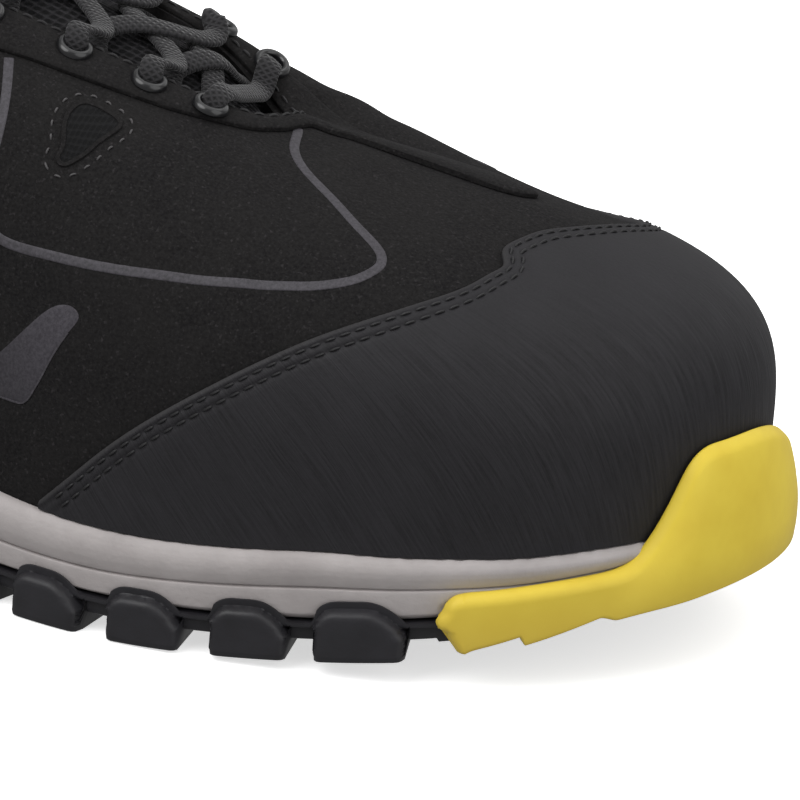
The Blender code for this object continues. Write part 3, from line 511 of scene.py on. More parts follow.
# %% Coated leather, its cut edge and its brushed lines
def make_coating():
    """Lines brushed into the coat over bands and pores, and a paler cut edge."""
    surface, tree, shader, place = start_finish("brushed_coated_leather", {
        "Roughness": 0.6, "Specular IOR Level": 0.24})
    across = add(tree, "ShaderNodeMapping", {"Vector": place["UV"], "Scale": (1.0, 0.05, 1.0)})
    lines = add(tree, NOISE, blotches(across, 0.34 * MM))
    bands = add(tree, NOISE, blotches(place["Object"], 8 * MM, 3.0, 0.5))
    pores = add(tree, NOISE, blotches(place["Object"], 0.45 * MM))
    edge = add(tree, "ShaderNodeAttribute", {}, {"attribute_name": "cut_edge"}, "Fac")
    brushed = add(tree, "ShaderNodeAttribute", {}, {"attribute_name": "brushed"}, "Fac")
    lines = add(tree, MIX, {0: brushed, 2: 0.5, 3: lines}, {"data_type": "FLOAT"})
    tone = mottle(tree, lines, (0.32, 0.68), linear("#1B1A1C"), linear("#272629"))
    tone = mottle(tree, pores, (0.35, 0.70), tone, linear("#2A292C"), 0.3)
    tone = mottle(tree, bands, (0.35, 0.70), tone, linear("#2C2B2E"), 0.3)
    tone = add(tree, MIX, {0: edge, 6: tone, 7: linear("#363536")}, COLOURS, 2)
    rough = add(tree, RANGE, span(lines, 0.3, 0.7, 0.70, 0.56))
    return end_finish(surface, tree, shader, tone, [(pores, 0.06 * MM), (lines, 0.13 * MM)], rough)


COATING = make_coating()
print("coated leather made")

# %% [markdown]
# ### Foam, rubber and the toe guard
# The midsole is expanded foam with a moulded skin: matt, warm grey, very slightly pebbled. The
# outsole is carbon-filled rubber, nearly black and satin from its mould. The guard is a yellow
# polyurethane moulding with a satin face, with painted shade that darkens it towards its foot.

# %% Moulded finishes
def make_foam():
    """Warm grey foam with faint stains and a pebbled skin."""
    surface, tree, shader, place = start_finish("grey_midsole_foam", {
        "Roughness": 0.62, "Specular IOR Level": 0.35})
    pebble = add(tree, NOISE, blotches(place["Object"], 0.7 * MM))
    stain = add(tree, NOISE, blotches(place["Object"], 7 * MM, 3.0))
    tone = mottle(tree, stain, (0.3, 0.7), linear("#A39D9C"), linear("#B1ABAA"))
    return end_finish(surface, tree, shader, tone, [(pebble, 0.10 * MM)])


def make_rubber():
    """Nearly black rubber, with a slow bloom that changes its gloss."""
    surface, tree, shader, place = start_finish("black_tread_rubber", {
        "Roughness": 0.5, "Specular IOR Level": 0.5})
    bloom = add(tree, NOISE, blotches(place["Object"], 5 * MM, 3.0))
    skin = add(tree, NOISE, blotches(place["Object"], 0.45 * MM))
    tone = mottle(tree, bloom, (0.3, 0.7), linear("#17161A"), linear("#1F1E23"))
    rough = add(tree, RANGE, span(bloom, 0.3, 0.7, 0.46, 0.60))
    return end_finish(surface, tree, shader, tone, [(skin, 0.05 * MM)], rough)


# Heights over the floor between which the guard's painted shade grows, and its strongest share
PAINTED_SHADE_TOP = 26 * MM
PAINTED_SHADE_LOW = 8 * MM
PAINTED_SHADE_SHARE = 0.75


def make_guard():
    """Yellow polyurethane with a faint tint, and painted shade that grows towards the foot."""
    surface, tree, shader, place = start_finish("yellow_guard_polyurethane", {
        "Roughness": 0.5, "Specular IOR Level": 0.3})
    tint = add(tree, NOISE, blotches(place["Object"], 9 * MM, 3.0))
    skin = add(tree, NOISE, blotches(place["Object"], 0.6 * MM))
    tone = mottle(tree, tint, (0.3, 0.7), linear("#E3C63F"), linear("#EDD34A"))
    height = add(tree, "ShaderNodeSeparateXYZ", {"Vector": place["Object"]}, output="Z")
    # Painted shade: the tone darkens towards the guard's foot and stands in for the shadow there
    tone = mottle(tree, height, (PAINTED_SHADE_TOP, PAINTED_SHADE_LOW), tone, linear("#C7AB45"), PAINTED_SHADE_SHARE)
    rough = add(tree, RANGE, span(tint, 0.3, 0.7, 0.46, 0.54))
    return end_finish(surface, tree, shader, tone, [(skin, 0.035 * MM)], rough)


FOAM = make_foam()
RUBBER = make_rubber()
GUARD = make_guard()
print("foam, rubber and guard made")

# %% [markdown]
# ### Printed film, cloth, thread and metal
# The grey outline is a thin reflective film, pressed on hot, with tiny glass beads that speckle
# it. The tongue and collar are spacer mesh, a knit with open cells. The laces are a flat braid,
# the thread is polyester, and the eyelets are brass under black lacquer.

# %% Film, cloths, thread and lacquer
def make_film():
    """Grey film speckled by glass beads, drawn coarser than real ones so that they show."""
    surface, tree, shader, place = start_finish("grey_reflective_film", {
        "Roughness": 0.6, "Specular IOR Level": 0.4})
    beads = add(tree, NOISE, blotches(place["Object"], 0.4 * MM, 2.0, 0.7))
    tone = mottle(tree, beads, (0.35, 0.68), linear("#312F33"), linear("#47444A"))
    return end_finish(surface, tree, shader, tone, [(beads, 0.05 * MM)])


def make_patch_film():
    """The same film, fading to black towards its lower left."""
    surface, tree, shader, place = start_finish("grey_fading_film", {
        "Roughness": 0.6, "Specular IOR Level": 0.3})
    beads = add(tree, NOISE, blotches(place["Object"], 0.4 * MM, 2.0, 0.7))
    fade = add(tree, "ShaderNodeAttribute", {}, {"attribute_name": "fade"}, "Fac")
    dark = add(tree, MIX, {0: fade, 6: linear("#242226"), 7: linear("#38353B")}, COLOURS, 2)
    light = add(tree, MIX, {0: fade, 6: linear("#2E2C30"), 7: linear("#4C494F")}, COLOURS, 2)
    tone = mottle(tree, beads, (0.35, 0.68), dark, light)
    return end_finish(surface, tree, shader, tone, [(beads, 0.05 * MM)])


def make_cloth(name, dark, light, cell, depth):
    """Knitted mesh: rounded cells of a real size over the surface map, darker where they open."""
    surface, tree, shader, place = start_finish(name, {
        "Roughness": 0.9, "Specular IOR Level": 0.2, "Sheen Weight": 0.25, "Sheen Roughness": 0.4,
        "Sheen Tint": linear("#77757A")})
    links = {"Vector": place["UV"], "Scale": 1 / cell, "Randomness": 0.15}
    cells = add(tree, "ShaderNodeTexVoronoi", links, {"voronoi_dimensions": "2D"}, "Distance")
    wall = add(tree, RANGE, span(cells, 0.25, 0.6))
    fuzz = add(tree, NOISE, blotches(place["Object"], 0.5 * MM))
    tone = add(tree, MIX, {0: wall, 6: linear(dark), 7: linear(light)}, COLOURS, 2)
    return end_finish(surface, tree, shader, tone, [(wall, depth), (fuzz, 0.12 * MM)])


def make_braid():
    """Flat braid: two crossing sets of diagonal yarns over the lace's own surface map."""
    surface, tree, shader, place = start_finish("black_lace_braid", {
        "Roughness": 0.8, "Specular IOR Level": 0.3, "Sheen Weight": 0.2, "Sheen Roughness": 0.4})
    yarns = []
    for turn in (0.6, -0.6):
        turned = add(tree, "ShaderNodeMapping", {"Vector": place["UV"], "Rotation": (0, 0, turn)})
        links = {"Vector": turned, "Scale": 0.31 / (1.0 * MM)}
        yarns.append(add(tree, "ShaderNodeTexWave", links, {"wave_profile": "SIN"}, "Fac"))
    both = add(tree, "ShaderNodeMath", {0: yarns[0], 1: yarns[1]}, {"operation": "MAXIMUM"})
    tone = add(tree, MIX, {0: both, 6: linear("#111112"), 7: linear("#2B2A2C")}, COLOURS, 2)
    return end_finish(surface, tree, shader, tone, [(both, 0.25 * MM)])


def make_plain(name, colour, roughness, size, depth, extra=None):
    """A plain finish with a faint grain of a real size in its colour and its relief."""
    surface, tree, shader, place = start_finish(name, {"Roughness": roughness, **(extra or {})})
    fine = add(tree, NOISE, blotches(place["Object"], size))
    low = tuple(c * 0.8 for c in linear(colour)[:3]) + (1.0,)
    tone = mottle(tree, fine, (0.3, 0.7), low, linear(colour))
    return end_finish(surface, tree, shader, tone, [(fine, depth)])


FILM = make_film()
PATCH_FILM = make_patch_film()
MESH = make_cloth("black_spacer_mesh", "#0E0E0F", "#29282A", 1.9 * MM, 0.5 * MM)
LINING = make_cloth("grey_knit_lining", "#1B1B1D", "#3A393C", 1.2 * MM, 0.2 * MM)
BRAID = make_braid()
THREAD = make_plain("black_polyester_thread", "#1B1A1C", 0.6, 0.3 * MM, 0.05 * MM)
PALE_THREAD = make_plain("grey_polyester_thread", "#4E4C4D", 0.7, 0.3 * MM, 0.05 * MM)
WINDOW_CLOTH = make_cloth("dark_window_mesh", "#0B0B0C", "#161617", 1.0 * MM, 0.15 * MM)
LACQUER = make_plain("black_lacquered_brass", "#141416", 0.3, 2 * MM, 0.01 * MM, {"Coat Weight": 0.4})
print("finishes made:", len(bpy.data.materials))

# %% [markdown]
# ## The upper
# The upper is one shell with a wall of two millimetres. Its outer face is the surface above, with
# soft troughs and ridges where the vamp flexes, added as bells of the distance to a line. The
# shell turns under at the foot as leather does when it is pulled over a last and glued.

# %% Flex folds and the upper's shell
# Folds: places and turns of their line, depth and half width in millimetres
FOLDS = (
    (((0.640, 0.40), (0.675, 0.60), (0.735, 0.80)), -0.45, 4.5),
    (((0.668, 0.40), (0.705, 0.60), (0.760, 0.82)), 0.35, 4.0),
    (((0.700, 0.52), (0.745, 0.70), (0.800, 0.88)), -0.40, 4.0),
    (((1.360, 0.40), (1.325, 0.60), (1.265, 0.80)), -0.45, 4.5),
    (((1.332, 0.40), (1.295, 0.60), (1.240, 0.82)), 0.35, 4.0),
    (((1.300, 0.52), (1.255, 0.70), (1.200, 0.88)), -0.40, 4.0),
    (((0.930, 0.90), (1.000, 0.93), (1.080, 0.90)), -0.35, 3.0),
    (((0.440, 0.30), (0.480, 0.52), (0.500, 0.72)), -0.35, 7.0),
    (((1.560, 0.30), (1.520, 0.52), (1.500, 0.72)), -0.35, 7.0),
)


def folds(points):
    """Height of the folds at points: for each one, its depth times a bell of the distance."""
    height = np.zeros(points.shape[:-1])
    for line, depth, width in FOLDS:
        knots = np.linspace(0, 1, len(line))
        path = section(*spline(knots, line, np.linspace(0, 1, 60)).T)
        height += depth * MM * np.exp(-(distance_to(points, path) / (width * MM)) ** 2)
    return height


def make_upper(count=440):
    """The outer face with its folds, the inner face one wall in, and the margin turned under."""
    places = np.arange(count)[:, None] * 2 / count
    turns = np.linspace(0, 1, 100)[None, :]
    plain = section(places, turns)
    outer = face(places, turns, folds(plain))
    inner = face(places, turns[:, ::-1], -UPPER_WALL)
    ring = places[:, 0]
    under = [foot_point(ring, np.full(count, out), lift) for out, lift in (
        (-UPPER_INSET - LASTING_MARGIN, -RIM_DEPTH), (-UPPER_INSET, -RIM_DEPTH))]
    over = [foot_point(ring, np.full(count, out), lift) for out, lift in (
        (-UPPER_INSET - UPPER_WALL, UPPER_WALL - RIM_DEPTH),
        (-UPPER_INSET - LASTING_MARGIN, UPPER_WALL - RIM_DEPTH))]
    sections = np.concatenate([np.stack(under, 1), outer, inner, np.stack(over, 1)], 1)
    item = loft("upper_shell", sections, SUEDE, closed=True, replaced=["upper"], slot="suede")
    item.data.materials.append(LINING)
    inside = np.zeros(sections.shape[:2], int)
    inside[:, 102:] = 1
    item.data.polygons.foreach_set("material_index", inside.ravel().astype(np.int32))


make_upper()
print("upper made")

# %% [markdown]
# ## Overlays
# The toe cap, eyestay and heel counter are cut from sheet and sewn on, so each is a thin shell
# over the same surface between two edges. The thickness grows from the cut edge in a quarter
# round, and two shallow channels beside the edge show where the seams pull the leather down.

# %% A shell between two edges
CUT_ROWS = np.array([0, 0.12, 0.3, 0.55, 0.85, 1.15, 1.45, 1.75, 2.1, 2.5, 2.9, 3.25, 3.6, 4.0, 4.5,
                     5.2, 6.2]) * MM
SEAMS = (1.6 * MM, 3.7 * MM)
SEAM_WIDTH = 0.5 * MM
SEAM_DEPTH = 0.30 * MM


def soft_line(rows, places, width=0.006):
    """A table read in straight lines, then averaged over a small width to round its corners."""
    rows = np.asarray(rows)
    shifts = np.linspace(-width, width, 9)
    return np.mean([np.interp(places + shift, rows[:, 0], rows[:, 1]) for shift in shifts], axis=0)


def turns_between(places, low, high, open_low, middle):
    """Turns of the rows: close together at cut edges, even between them."""
    def reach(turn):
        return np.linalg.norm(ways(places, turn)[1], axis=-1)

    tall = (high - low) * reach((low + high) / 2)
    share = np.clip(0.42 * tall / CUT_ROWS[-1], 0.01, 1)[:, None]
    top = high[:, None] - CUT_ROWS * share / reach(high)[:, None]
    if open_low:
        foot = low[:, None] + CUT_ROWS * share / reach(low)[:, None]
    else:
        foot = low[:, None]
    steps = np.linspace(0, 1, middle + 2)[1:-1]
    between = foot[:, -1:] + (top[:, -1:] - foot[:, -1:]) * steps
    return np.concatenate([foot, between, top[:, ::-1]], 1)


def overlay(name, places, turns, lines, finish, lean=None, seams=SEAMS, roll=OVERLAY_WALL, **more):
    """A thin shell over the upper, rounded and channelled by its distance to its cut edges."""
    where = places[:, None] + turns * 0
    plain = section(where, turns)
    edges = np.concatenate([section(*line) for line in lines])
    near = distance_to(plain, edges)
    rise = 0.35 + 0.65 * np.sqrt(1 - (1 - np.clip(near / roll, 0, 1)) ** 2)
    channel = sum(np.exp(-((near - seam) / SEAM_WIDTH) ** 2) for seam in seams) * SEAM_DEPTH
    outer = face(where, turns, CLEARANCE + OVERLAY_WALL * rise - channel + folds(plain))
    inner = face(where, turns, CLEARANCE * 0.7 + folds(plain))
    sections = np.concatenate([outer, inner[:, ::-1]], 1)
    steps = np.linalg.norm(np.diff(plain, axis=1), axis=-1)
    up = np.concatenate([np.zeros((len(places), 1)), np.cumsum(steps, axis=1)], 1)
    round_way = EDGE.arc_at(where)
    if lean is not None:
        round_way = round_way + np.interp(where, *zip(*lean)) * up
    uv = np.stack([round_way, up], -1)
    uv = np.concatenate([uv, uv[:, ::-1]], 1)
    cut = np.clip(1 - near / (0.9 * MM), 0, 1)
    cut = np.concatenate([cut, cut[:, ::-1] * 0], 1)
    brushed = np.concatenate([turns, turns[:, ::-1]], 1)
    brushed = 1 - smooth_step(brushed, 0.38, 0.60)
    return loft(name, sections, finish, uv=uv, values={"cut_edge": cut, "brushed": brushed}, **more)


# %% Toe cap
CAP = (
    (0.556, 0.000), (0.574, 0.070), (0.597, 0.158), (0.643, 0.290), (0.69, 0.390),
    (0.741, 0.472), (0.808, 0.545), (0.844, 0.574), (0.872, 0.595), (0.8865, 0.608),
    (0.895, 0.624), (0.906, 0.635), (0.924, 0.642), (0.949, 0.646), (0.969, 0.642),
    (0.999, 0.630), (1.035, 0.612), (1.080, 0.583), (1.142, 0.552), (1.215, 0.508),
    (1.312, 0.400), (1.375, 0.262), (1.415, 0.130), (1.444, 0.000),
)
# How the brushed lines lean: metres round the shoe for each metre up the wall, by place
CAP_LEAN = ((0.55, 0.80), (0.70, 0.75), (0.80, 0.60), (0.90, 0.28), (0.97, 0.0), (1.03, 0.0),
            (1.10, -0.28), (1.20, -0.60), (1.45, -0.80))
CAP_START = 0.5605


def cap_edge(places):
    """Turn of the cap's upper edge at places, read from its table."""
    return np.clip(table(CAP, places)[..., 0], 0.0, 1.0)


def make_toe_cap():
    """A shell from the foot to the cap's edge, with stations closest where that edge bends."""
    half = np.concatenate([np.linspace(CAP_START, 0.86, 120), np.linspace(0.86, 0.94, 60)[1:],
                           np.linspace(0.94, 1.0, 24)[1:]])
    places = np.concatenate([half, (2 - half)[::-1][1:]])
    high = cap_edge(places)
    turns = turns_between(places, np.zeros(len(places)), high, False, 46)
    dense = np.linspace(CAP_START, 1.4395, 2600)
    line = (dense, cap_edge(dense))
    return overlay("toe_cap_shell", places, turns, [line], COATING, CAP_LEAN,
                   replaced=["toe_cap"], slot="coating")


make_toe_cap()
print("toe cap made")

# %% Eyestay
EYESTAY = (
    (0.430, 0.810), (0.500, 0.830), (0.600, 0.850), (0.700, 0.875), (0.790, 0.915),
    (0.850, 0.940), (0.920, 0.950), (0.970, 0.950), (0.988, 0.930), (0.997, 0.870),
    (1.001, 0.770), (1.006, 0.732), (1.019, 0.706), (1.040, 0.693), (1.070, 0.710), (1.100, 0.770),
    (1.150, 0.870), (1.250, 0.885), (1.400, 0.850), (1.500, 0.830), (1.570, 0.810),
)
EYESTAY_TOP = 0.985
EYESTAY_ENDS = (0.464, 1.536)
EYESTAY_SOFT = 0.005
EYESTAY_ROLL = 4.5 * MM


def make_eyestay():
    """A shell between its own lower line and the throat, cut at both edges."""
    places = np.linspace(*EYESTAY_ENDS, 330)
    low = soft_line(EYESTAY, places, EYESTAY_SOFT)
    high = np.full(len(places), EYESTAY_TOP)
    turns = turns_between(places, low, high, True, 10)
    dense = np.linspace(*EYESTAY_ENDS, 2600)
    top = np.full(len(dense), EYESTAY_TOP)
    lines = [(dense, soft_line(EYESTAY, dense, EYESTAY_SOFT)), (dense, top)]
    return overlay("eyestay_shell", places, turns, lines, SUEDE, seams=(), roll=EYESTAY_ROLL,
                   replaced=["eyestay"], slot="suede")


make_eyestay()
print("eyestay made")

# %% Heel counter
COUNTER = (
    (1.740, 0.050), (1.800, 0.330), (1.880, 0.500), (2.000, 0.620), (2.120, 0.500),
    (2.200, 0.330), (2.260, 0.050),
)
COUNTER_FOOT = 0.025
COUNTER_ENDS = (1.7445, 2.2555)
COUNTER_LEAN = ((1.7, -0.5), (2.0, 0.0), (2.3, 0.5))


def counter_edge(places):
    """Turn of the counter's upper edge at places, read from its table."""
    return table(COUNTER, places)[..., 0]


def make_heel_counter():
    """A shell from its foot line to the counter's edge."""
    places = np.linspace(*COUNTER_ENDS, 230)
    high = np.maximum(counter_edge(places), COUNTER_FOOT + 0.01)
    turns = turns_between(places, np.full(len(places), COUNTER_FOOT), high, False, 36)
    dense = np.linspace(*COUNTER_ENDS, 1600)
    line = (dense, np.maximum(counter_edge(dense), COUNTER_FOOT + 0.01))
    return overlay("heel_counter_shell", places, turns, [line], COATING, COUNTER_LEAN,
                   replaced=["heel_counter"], slot="coating")


make_heel_counter()
print("heel counter made")

# %% [markdown]
# ## The midsole
# The midsole is moulded foam. Its side has a lower band that leans out, a thin groove, and a full
# upper band that rolls in to the upper. It is a loft of rings of points round the sole, closed at
# the bottom and the top, and a little noise on the top edge gives the trimmed lip.

# %% Slow noise along the sole
def wobble(arc, size, seed):
    """Slow noise along a closed line: sines of whole counts with random phases, about -1 to 1."""
    random = np.random.default_rng(seed)
    total = EDGE.outer_side + EDGE.inner_side
    waves = np.round(total / size * random.uniform(0.5, 1.6, 14))
    phases = random.uniform(0, 2 * math.pi, 14)
    angles = 2 * math.pi * waves * arc[:, None] / total + phases
    return np.sin(angles).sum(1) / 4


# %% Midsole
PLATE_LOW = 0.0034
PLATE_HIGH = 0.0074
PLATE_INSET = 0.0012
TREAD_REACH = 0.0135
BUMPER_ARM = 0.074
BUMPER_SEAT = 0.0010
BUMPER_HEIGHT = 0.0332
# Top line of the toe bumper: share of its arm back from the toe, less than none on the outer
# side, and share of its height
BUMPER = (
    (-1.00, 0.365), (-0.98, 0.385), (-0.90, 0.400), (-0.80, 0.395), (-0.70, 0.386), (-0.60, 0.372),
    (-0.53, 0.368), (-0.50, 0.378), (-0.46, 0.425), (-0.41, 0.545), (-0.36, 0.715), (-0.32, 0.865),
    (-0.28, 0.940), (-0.20, 0.955), (-0.10, 0.940), (0.00, 0.910), (0.08, 0.860), (0.16, 0.790),
    (0.22, 0.735), (0.30, 0.640), (0.40, 0.500), (0.50, 0.410), (0.60, 0.378), (0.75, 0.392),
    (0.90, 0.400), (0.98, 0.385), (1.00, 0.365),
)
# Side of the midsole: share of its height, how far out it stands in millimetres
SIDE = (
    (0.00, -2.0), (0.03, -1.35), (0.08, -0.85), (0.25, -0.62), (0.42, -0.48), (0.456, -0.55),
    (0.470, -1.30), (0.484, -1.30), (0.500, -0.62), (0.56, -0.25), (0.68, 0.25), (0.78, 0.40),
    (0.86, 0.22), (0.93, -0.25), (0.97, -0.75), (1.00, -1.50),
)
# How far the step in the foam lies under its place in SIDE, as a share of the height
STEP_DROP = ((0.00, 0.00), (0.40, 0.06), (0.54, 0.11), (0.60, 0.095), (0.64, 0.05), (0.68, 0.015),
             (0.74, -0.02), (0.80, -0.03), (0.90, -0.01), (1.00, 0.00))
SIDE_SHARES = np.concatenate([np.linspace(0, 0.10, 6), np.linspace(0.15, 0.43, 7),
                              np.linspace(0.445, 0.515, 11), np.linspace(0.54, 0.86, 10),
                              np.linspace(0.885, 1.0, 8)])


def arm_place(share, inner):
    """Place at a share of the bumper's arm back from the toe."""
    if inner:
        return 1 + share * BUMPER_ARM / EDGE.inner_side
    return 1 - share * BUMPER_ARM / EDGE.outer_side


def arm_share(place):
    """Share of the bumper's arm at a place, minus on the outer side, past 1 behind the bumper."""
    return np.where(place <= 1, EDGE.outer_side, EDGE.inner_side) * (place - 1) / BUMPER_ARM


SEAT_SHARE = 1 + 2 * CLEARANCE / BUMPER_ARM
SEAT_ENDS = (arm_place(SEAT_SHARE, False), arm_place(SEAT_SHARE, True))


def make_midsole(count=1440):
    """Rings round the sole, each as far out as SIDE says, dipped where the foam has its step."""
    places = round_places(count)
    rim = EDGE.at(places)
    base = ground(rim[:, 0]) + PLATE_HIGH + SOLE_GAP
    foot = foot_height(rim[:, 0]) - CLEARANCE
    cover = BUMPER_HEIGHT * table(BUMPER, np.clip(arm_share(places), -1, 1))[:, 0] - 1.2 * MM
    cover = np.where((places > SEAT_ENDS[0]) & (places < SEAT_ENDS[1]), cover, 0)
    cover = cover + ground(rim[:, 0])
    outs = soft_line(SIDE, SIDE_SHARES, 0.006) * MM
    trim = wobble(EDGE.arc_at(places), 5 * MM, 4) * 0.09 * MM
    rows = [side_point(places, np.full(count, -TREAD_REACH), base)]
    drop = soft_line(STEP_DROP, 1 - np.abs(1 - places), 0.02)
    for share, out in zip(SIDE_SHARES, outs):
        height = base + (foot - base) * (share - drop * 4 * share * (1 - share))
        level = np.where(height < cover, min(out, -BUMPER_SEAT), out)
        lift = trim * smooth_step(share, 0.86, 0.98)
        rows.append(side_point(places, level, height + lift))
    inner = np.full(count, CLEARANCE - UPPER_INSET)
    rows.append(side_point(places, inner, foot))
    rows.append(foot_point(places, inner, -RIM_DEPTH - CLEARANCE))
    rows.append(foot_point(places, inner - LASTING_MARGIN, -RIM_DEPTH - CLEARANCE))
    return loft("midsole_foam", rows, FOAM, replaced=["midsole"], slot="foam", sharp=50)


make_midsole()
print("midsole made")

# %% [markdown]
# ## The outsole
# The outsole is pressed rubber. Lugs wrap up its side, each with a steep rear wall and a long
# front slope, and its rim rises over each lug in a wave. The side is a height field over the
# length round the shoe and the height, so one function gives lugs, bevels, web and ledge.

# %% Lugs round the side
LUG_HEIGHT = 0.0112
LUG_SHOULDER = 0.0038
RIM_REACH = 0.0014
LUG_PROUD = 0.0026
LUG_LENGTH = 0.0150
LUG_PITCH = 0.0204
LUG_GAP_FRONT = 0.0066
LUG_SPREAD = 0.117
HEEL_LUG = 0.018
# The pitch is wider at the front and soon settles: what each lug keeps of the last one's excess
LUG_SETTLE = 0.35
# Lug heights as shares of the tallest: the first, the drop to each next one, and the lowest
LUG_TALL = 0.96
LUG_DROP = 0.045
LUG_LOW = 0.84
FIRST_LUG_LONGER = 1.07
SEATED_RIM = 0.0026


def lug_spans():
    """Front, rear and height of each lug; the ends are lengths along the sole edge from the heel."""
    room = EDGE.outer_side - BUMPER_ARM - LUG_GAP_FRONT - HEEL_LUG / 2
    steps = 1 + LUG_SPREAD * LUG_SETTLE ** np.arange(60)
    count = int(np.argmin(np.abs(np.cumsum(LUG_PITCH * steps) - room))) + 1
    spans = []
    for side_length, inner in ((EDGE.outer_side, False), (EDGE.inner_side, True)):
        start = BUMPER_ARM + LUG_GAP_FRONT
        widths = steps[:count] * (side_length - start - HEEL_LUG / 2) / steps[:count].sum()
        for k, pitch in enumerate(widths):
            longer = FIRST_LUG_LONGER if k == 0 else 1.0
            ends = np.array([start, start + pitch * longer * LUG_LENGTH / LUG_PITCH])
            tall = LUG_HEIGHT * max(LUG_TALL - LUG_DROP * k, LUG_LOW)
            spans.append((*(EDGE.outer_side + (ends if inner else -ends)), tall))
            start += pitch
    return spans


def rear_drop(along):
    """Drop of a round shoulder, a quarter circle, at a length from the rear of a lug."""
    share = np.clip(along / LUG_SHOULDER, 0, 1)
    return LUG_SHOULDER * (1 - np.sqrt(1 - (1 - share) ** 2))


print("lugs on each side:", len(lug_spans()) // 2)


def lug_top(share, length, tall):
    """Top of a lug along its share from the front: a bent slope, a flat and a round shoulder."""
    slope = 1 - 0.52 * np.clip((0.48 - share) / 0.48, 0, 1) ** 1.8
    return tall * slope - rear_drop((1 - share) * length)


def lug_outline(arc):
    """Lug tops along the side, how far inside its lug each point lies, and the outline itself."""
    total = EDGE.outer_side + EDGE.inner_side
    top = np.zeros(len(arc))
    inside = np.full(len(arc), -1.0)
    share = np.concatenate([np.zeros(12), np.linspace(0, 1, 60), np.ones(12)])
    up = np.concatenate([np.linspace(0, 1, 12), np.ones(60), np.linspace(1, 0, 12)])
    lines = []
    for front, rear, tall in lug_spans():
        length = abs(rear - front)
        along = (arc - front) * np.sign(rear - front)
        depth = np.minimum(along, length - along)
        top = np.where(depth >= 0, lug_top(np.clip(along / length, 0, 1), length, tall), top)
        inside = np.maximum(inside, depth)
        lines.append(np.stack([front + share * (rear - front), lug_top(share, length, tall) * up], -1))
    depth = HEEL_LUG / 2 - np.minimum(arc, total - arc)
    heel = LUG_LOW * LUG_HEIGHT
    top = np.where(depth >= 0, heel - rear_drop(depth), top)
    around = share * HEEL_LUG / 2
    lines.append(np.stack([around, (heel - rear_drop(HEEL_LUG / 2 - around)) * up], -1))
    lines.append(np.stack([total - around, (heel - rear_drop(HEEL_LUG / 2 - around)) * up], -1))
    return top, np.maximum(inside, depth), np.concatenate(lines)


def widen(values, reach, step):
    """Heights grown by a round reach on a closed line, then softened."""
    shifts = np.arange(-int(reach / step), int(reach / step) + 1)
    rise = np.sqrt(reach ** 2 - (shifts * step) ** 2)
    grown = np.max([np.roll(values, k) + up for k, up in zip(shifts, rise)], axis=0)
    return np.mean([np.roll(grown, k) for k in range(-2, 3)], axis=0)


# %% Outsole
def make_outsole(count=1480):
    """Rings round the sole, each as far out as the lugs' height field says."""
    places = round_places(count)
    arc = EDGE.arc_at(places)
    rim = EDGE.at(places)
    base = ground(rim[:, 0])
    seated = (places > SEAT_ENDS[0]) & (places < SEAT_ENDS[1])
    top, inside, outline = lug_outline(arc)
    wave = np.maximum(widen(top, RIM_REACH, arc[1] - arc[0]), PLATE_HIGH)
    wave = np.where(seated, PLATE_HIGH, np.maximum(wave, top + 0.8 * MM * (inside > 0)))
    low = np.where(inside > 0, 0.0, PLATE_LOW)
    low = np.where(seated, SEATED_RIM, low)
    shares = np.linspace(0, 1, 36)[:, None]
    height = low + 1.2 * MM + (wave - low - 1.2 * MM) * shares
    spots = np.stack(np.broadcast_arrays(arc, height), -1)
    gap = distance_to(spots, outline) * np.where((inside > 0) & (height < top), 1, 0)
    web = -PLATE_INSET + (PLATE_INSET + 0.25 * MM) * smooth_step(height, 5.9 * MM, 6.8 * MM)
    lug = np.interp(gap, np.array([0, 0.25, 0.6, 1.1, 1.8]) * MM, [0, 0.55, 0.82, 0.95, 1.0])
    out = web + (LUG_PROUD - web) * lug
    seat = -BUMPER_SEAT - CLEARANCE
    out = np.where(seated, seat, out)
    rows = [side_point(places, np.full(count, -TREAD_REACH), base + PLATE_LOW),
            side_point(places, np.full(count, 0.001 - TREAD_REACH), base + low)]
    rows.append(side_point(places, out[0] - 1.0 * MM, base + low))
    rows.append(side_point(places, out[0] - 0.35 * MM, base + low + 0.35 * MM))
    rows += [side_point(places, level, base + up) for level, up in zip(out, height)]
    behind = np.where(seated, seat - 0.3 * MM, -0.3 * MM)
    flat = wave <= PLATE_HIGH + 0.3 * MM
    behind = np.where(flat, np.minimum(behind, -1.4 * MM), behind)
    rows.append(side_point(places, (out[-1] + behind) / 2, base + wave + 0.12 * MM))
    rows.append(side_point(places, behind, base + wave))
    rows.append(side_point(places, behind, base + PLATE_HIGH))
    rows.append(side_point(places, np.full(count, -TREAD_REACH), base + PLATE_HIGH))
    return loft("outsole_rubber", rows, RUBBER, replaced=["outsole"], slot="rubber", sharp=35)


make_outsole()
print("outsole made")

# %% [markdown]
# ### Tread bars
# Under the middle of the sole, chevron bars give grip. Each is a low prism with a drawn-in edge.

# %% Tread bars
BARS = (0.065, 0.115, 0.165, 0.215, 0.50, 0.55, 0.60, 0.65, 0.70, 0.75, 0.80, 0.85, 0.90)
BAR_LENGTH = 0.0085
BAR_POINT = 0.0060
BAR_CHANNEL = 0.0040


def join_pieces(parts):
    """Points and quads of many pieces as one mesh, each piece wound outwards."""
    points = []
    quads = []
    start = 0
    for part_points, part_quads in parts:
        part_points = np.asarray(part_points, float).reshape(-1, 3)
        part_quads = np.asarray(part_quads, int)
        if signed_volume(part_points, part_quads) < 0:
            part_quads = part_quads[:, ::-1]
        points.append(part_points)
        quads.append(part_quads + start)
        start += len(part_points)
    return np.concatenate(points), np.concatenate(quads)


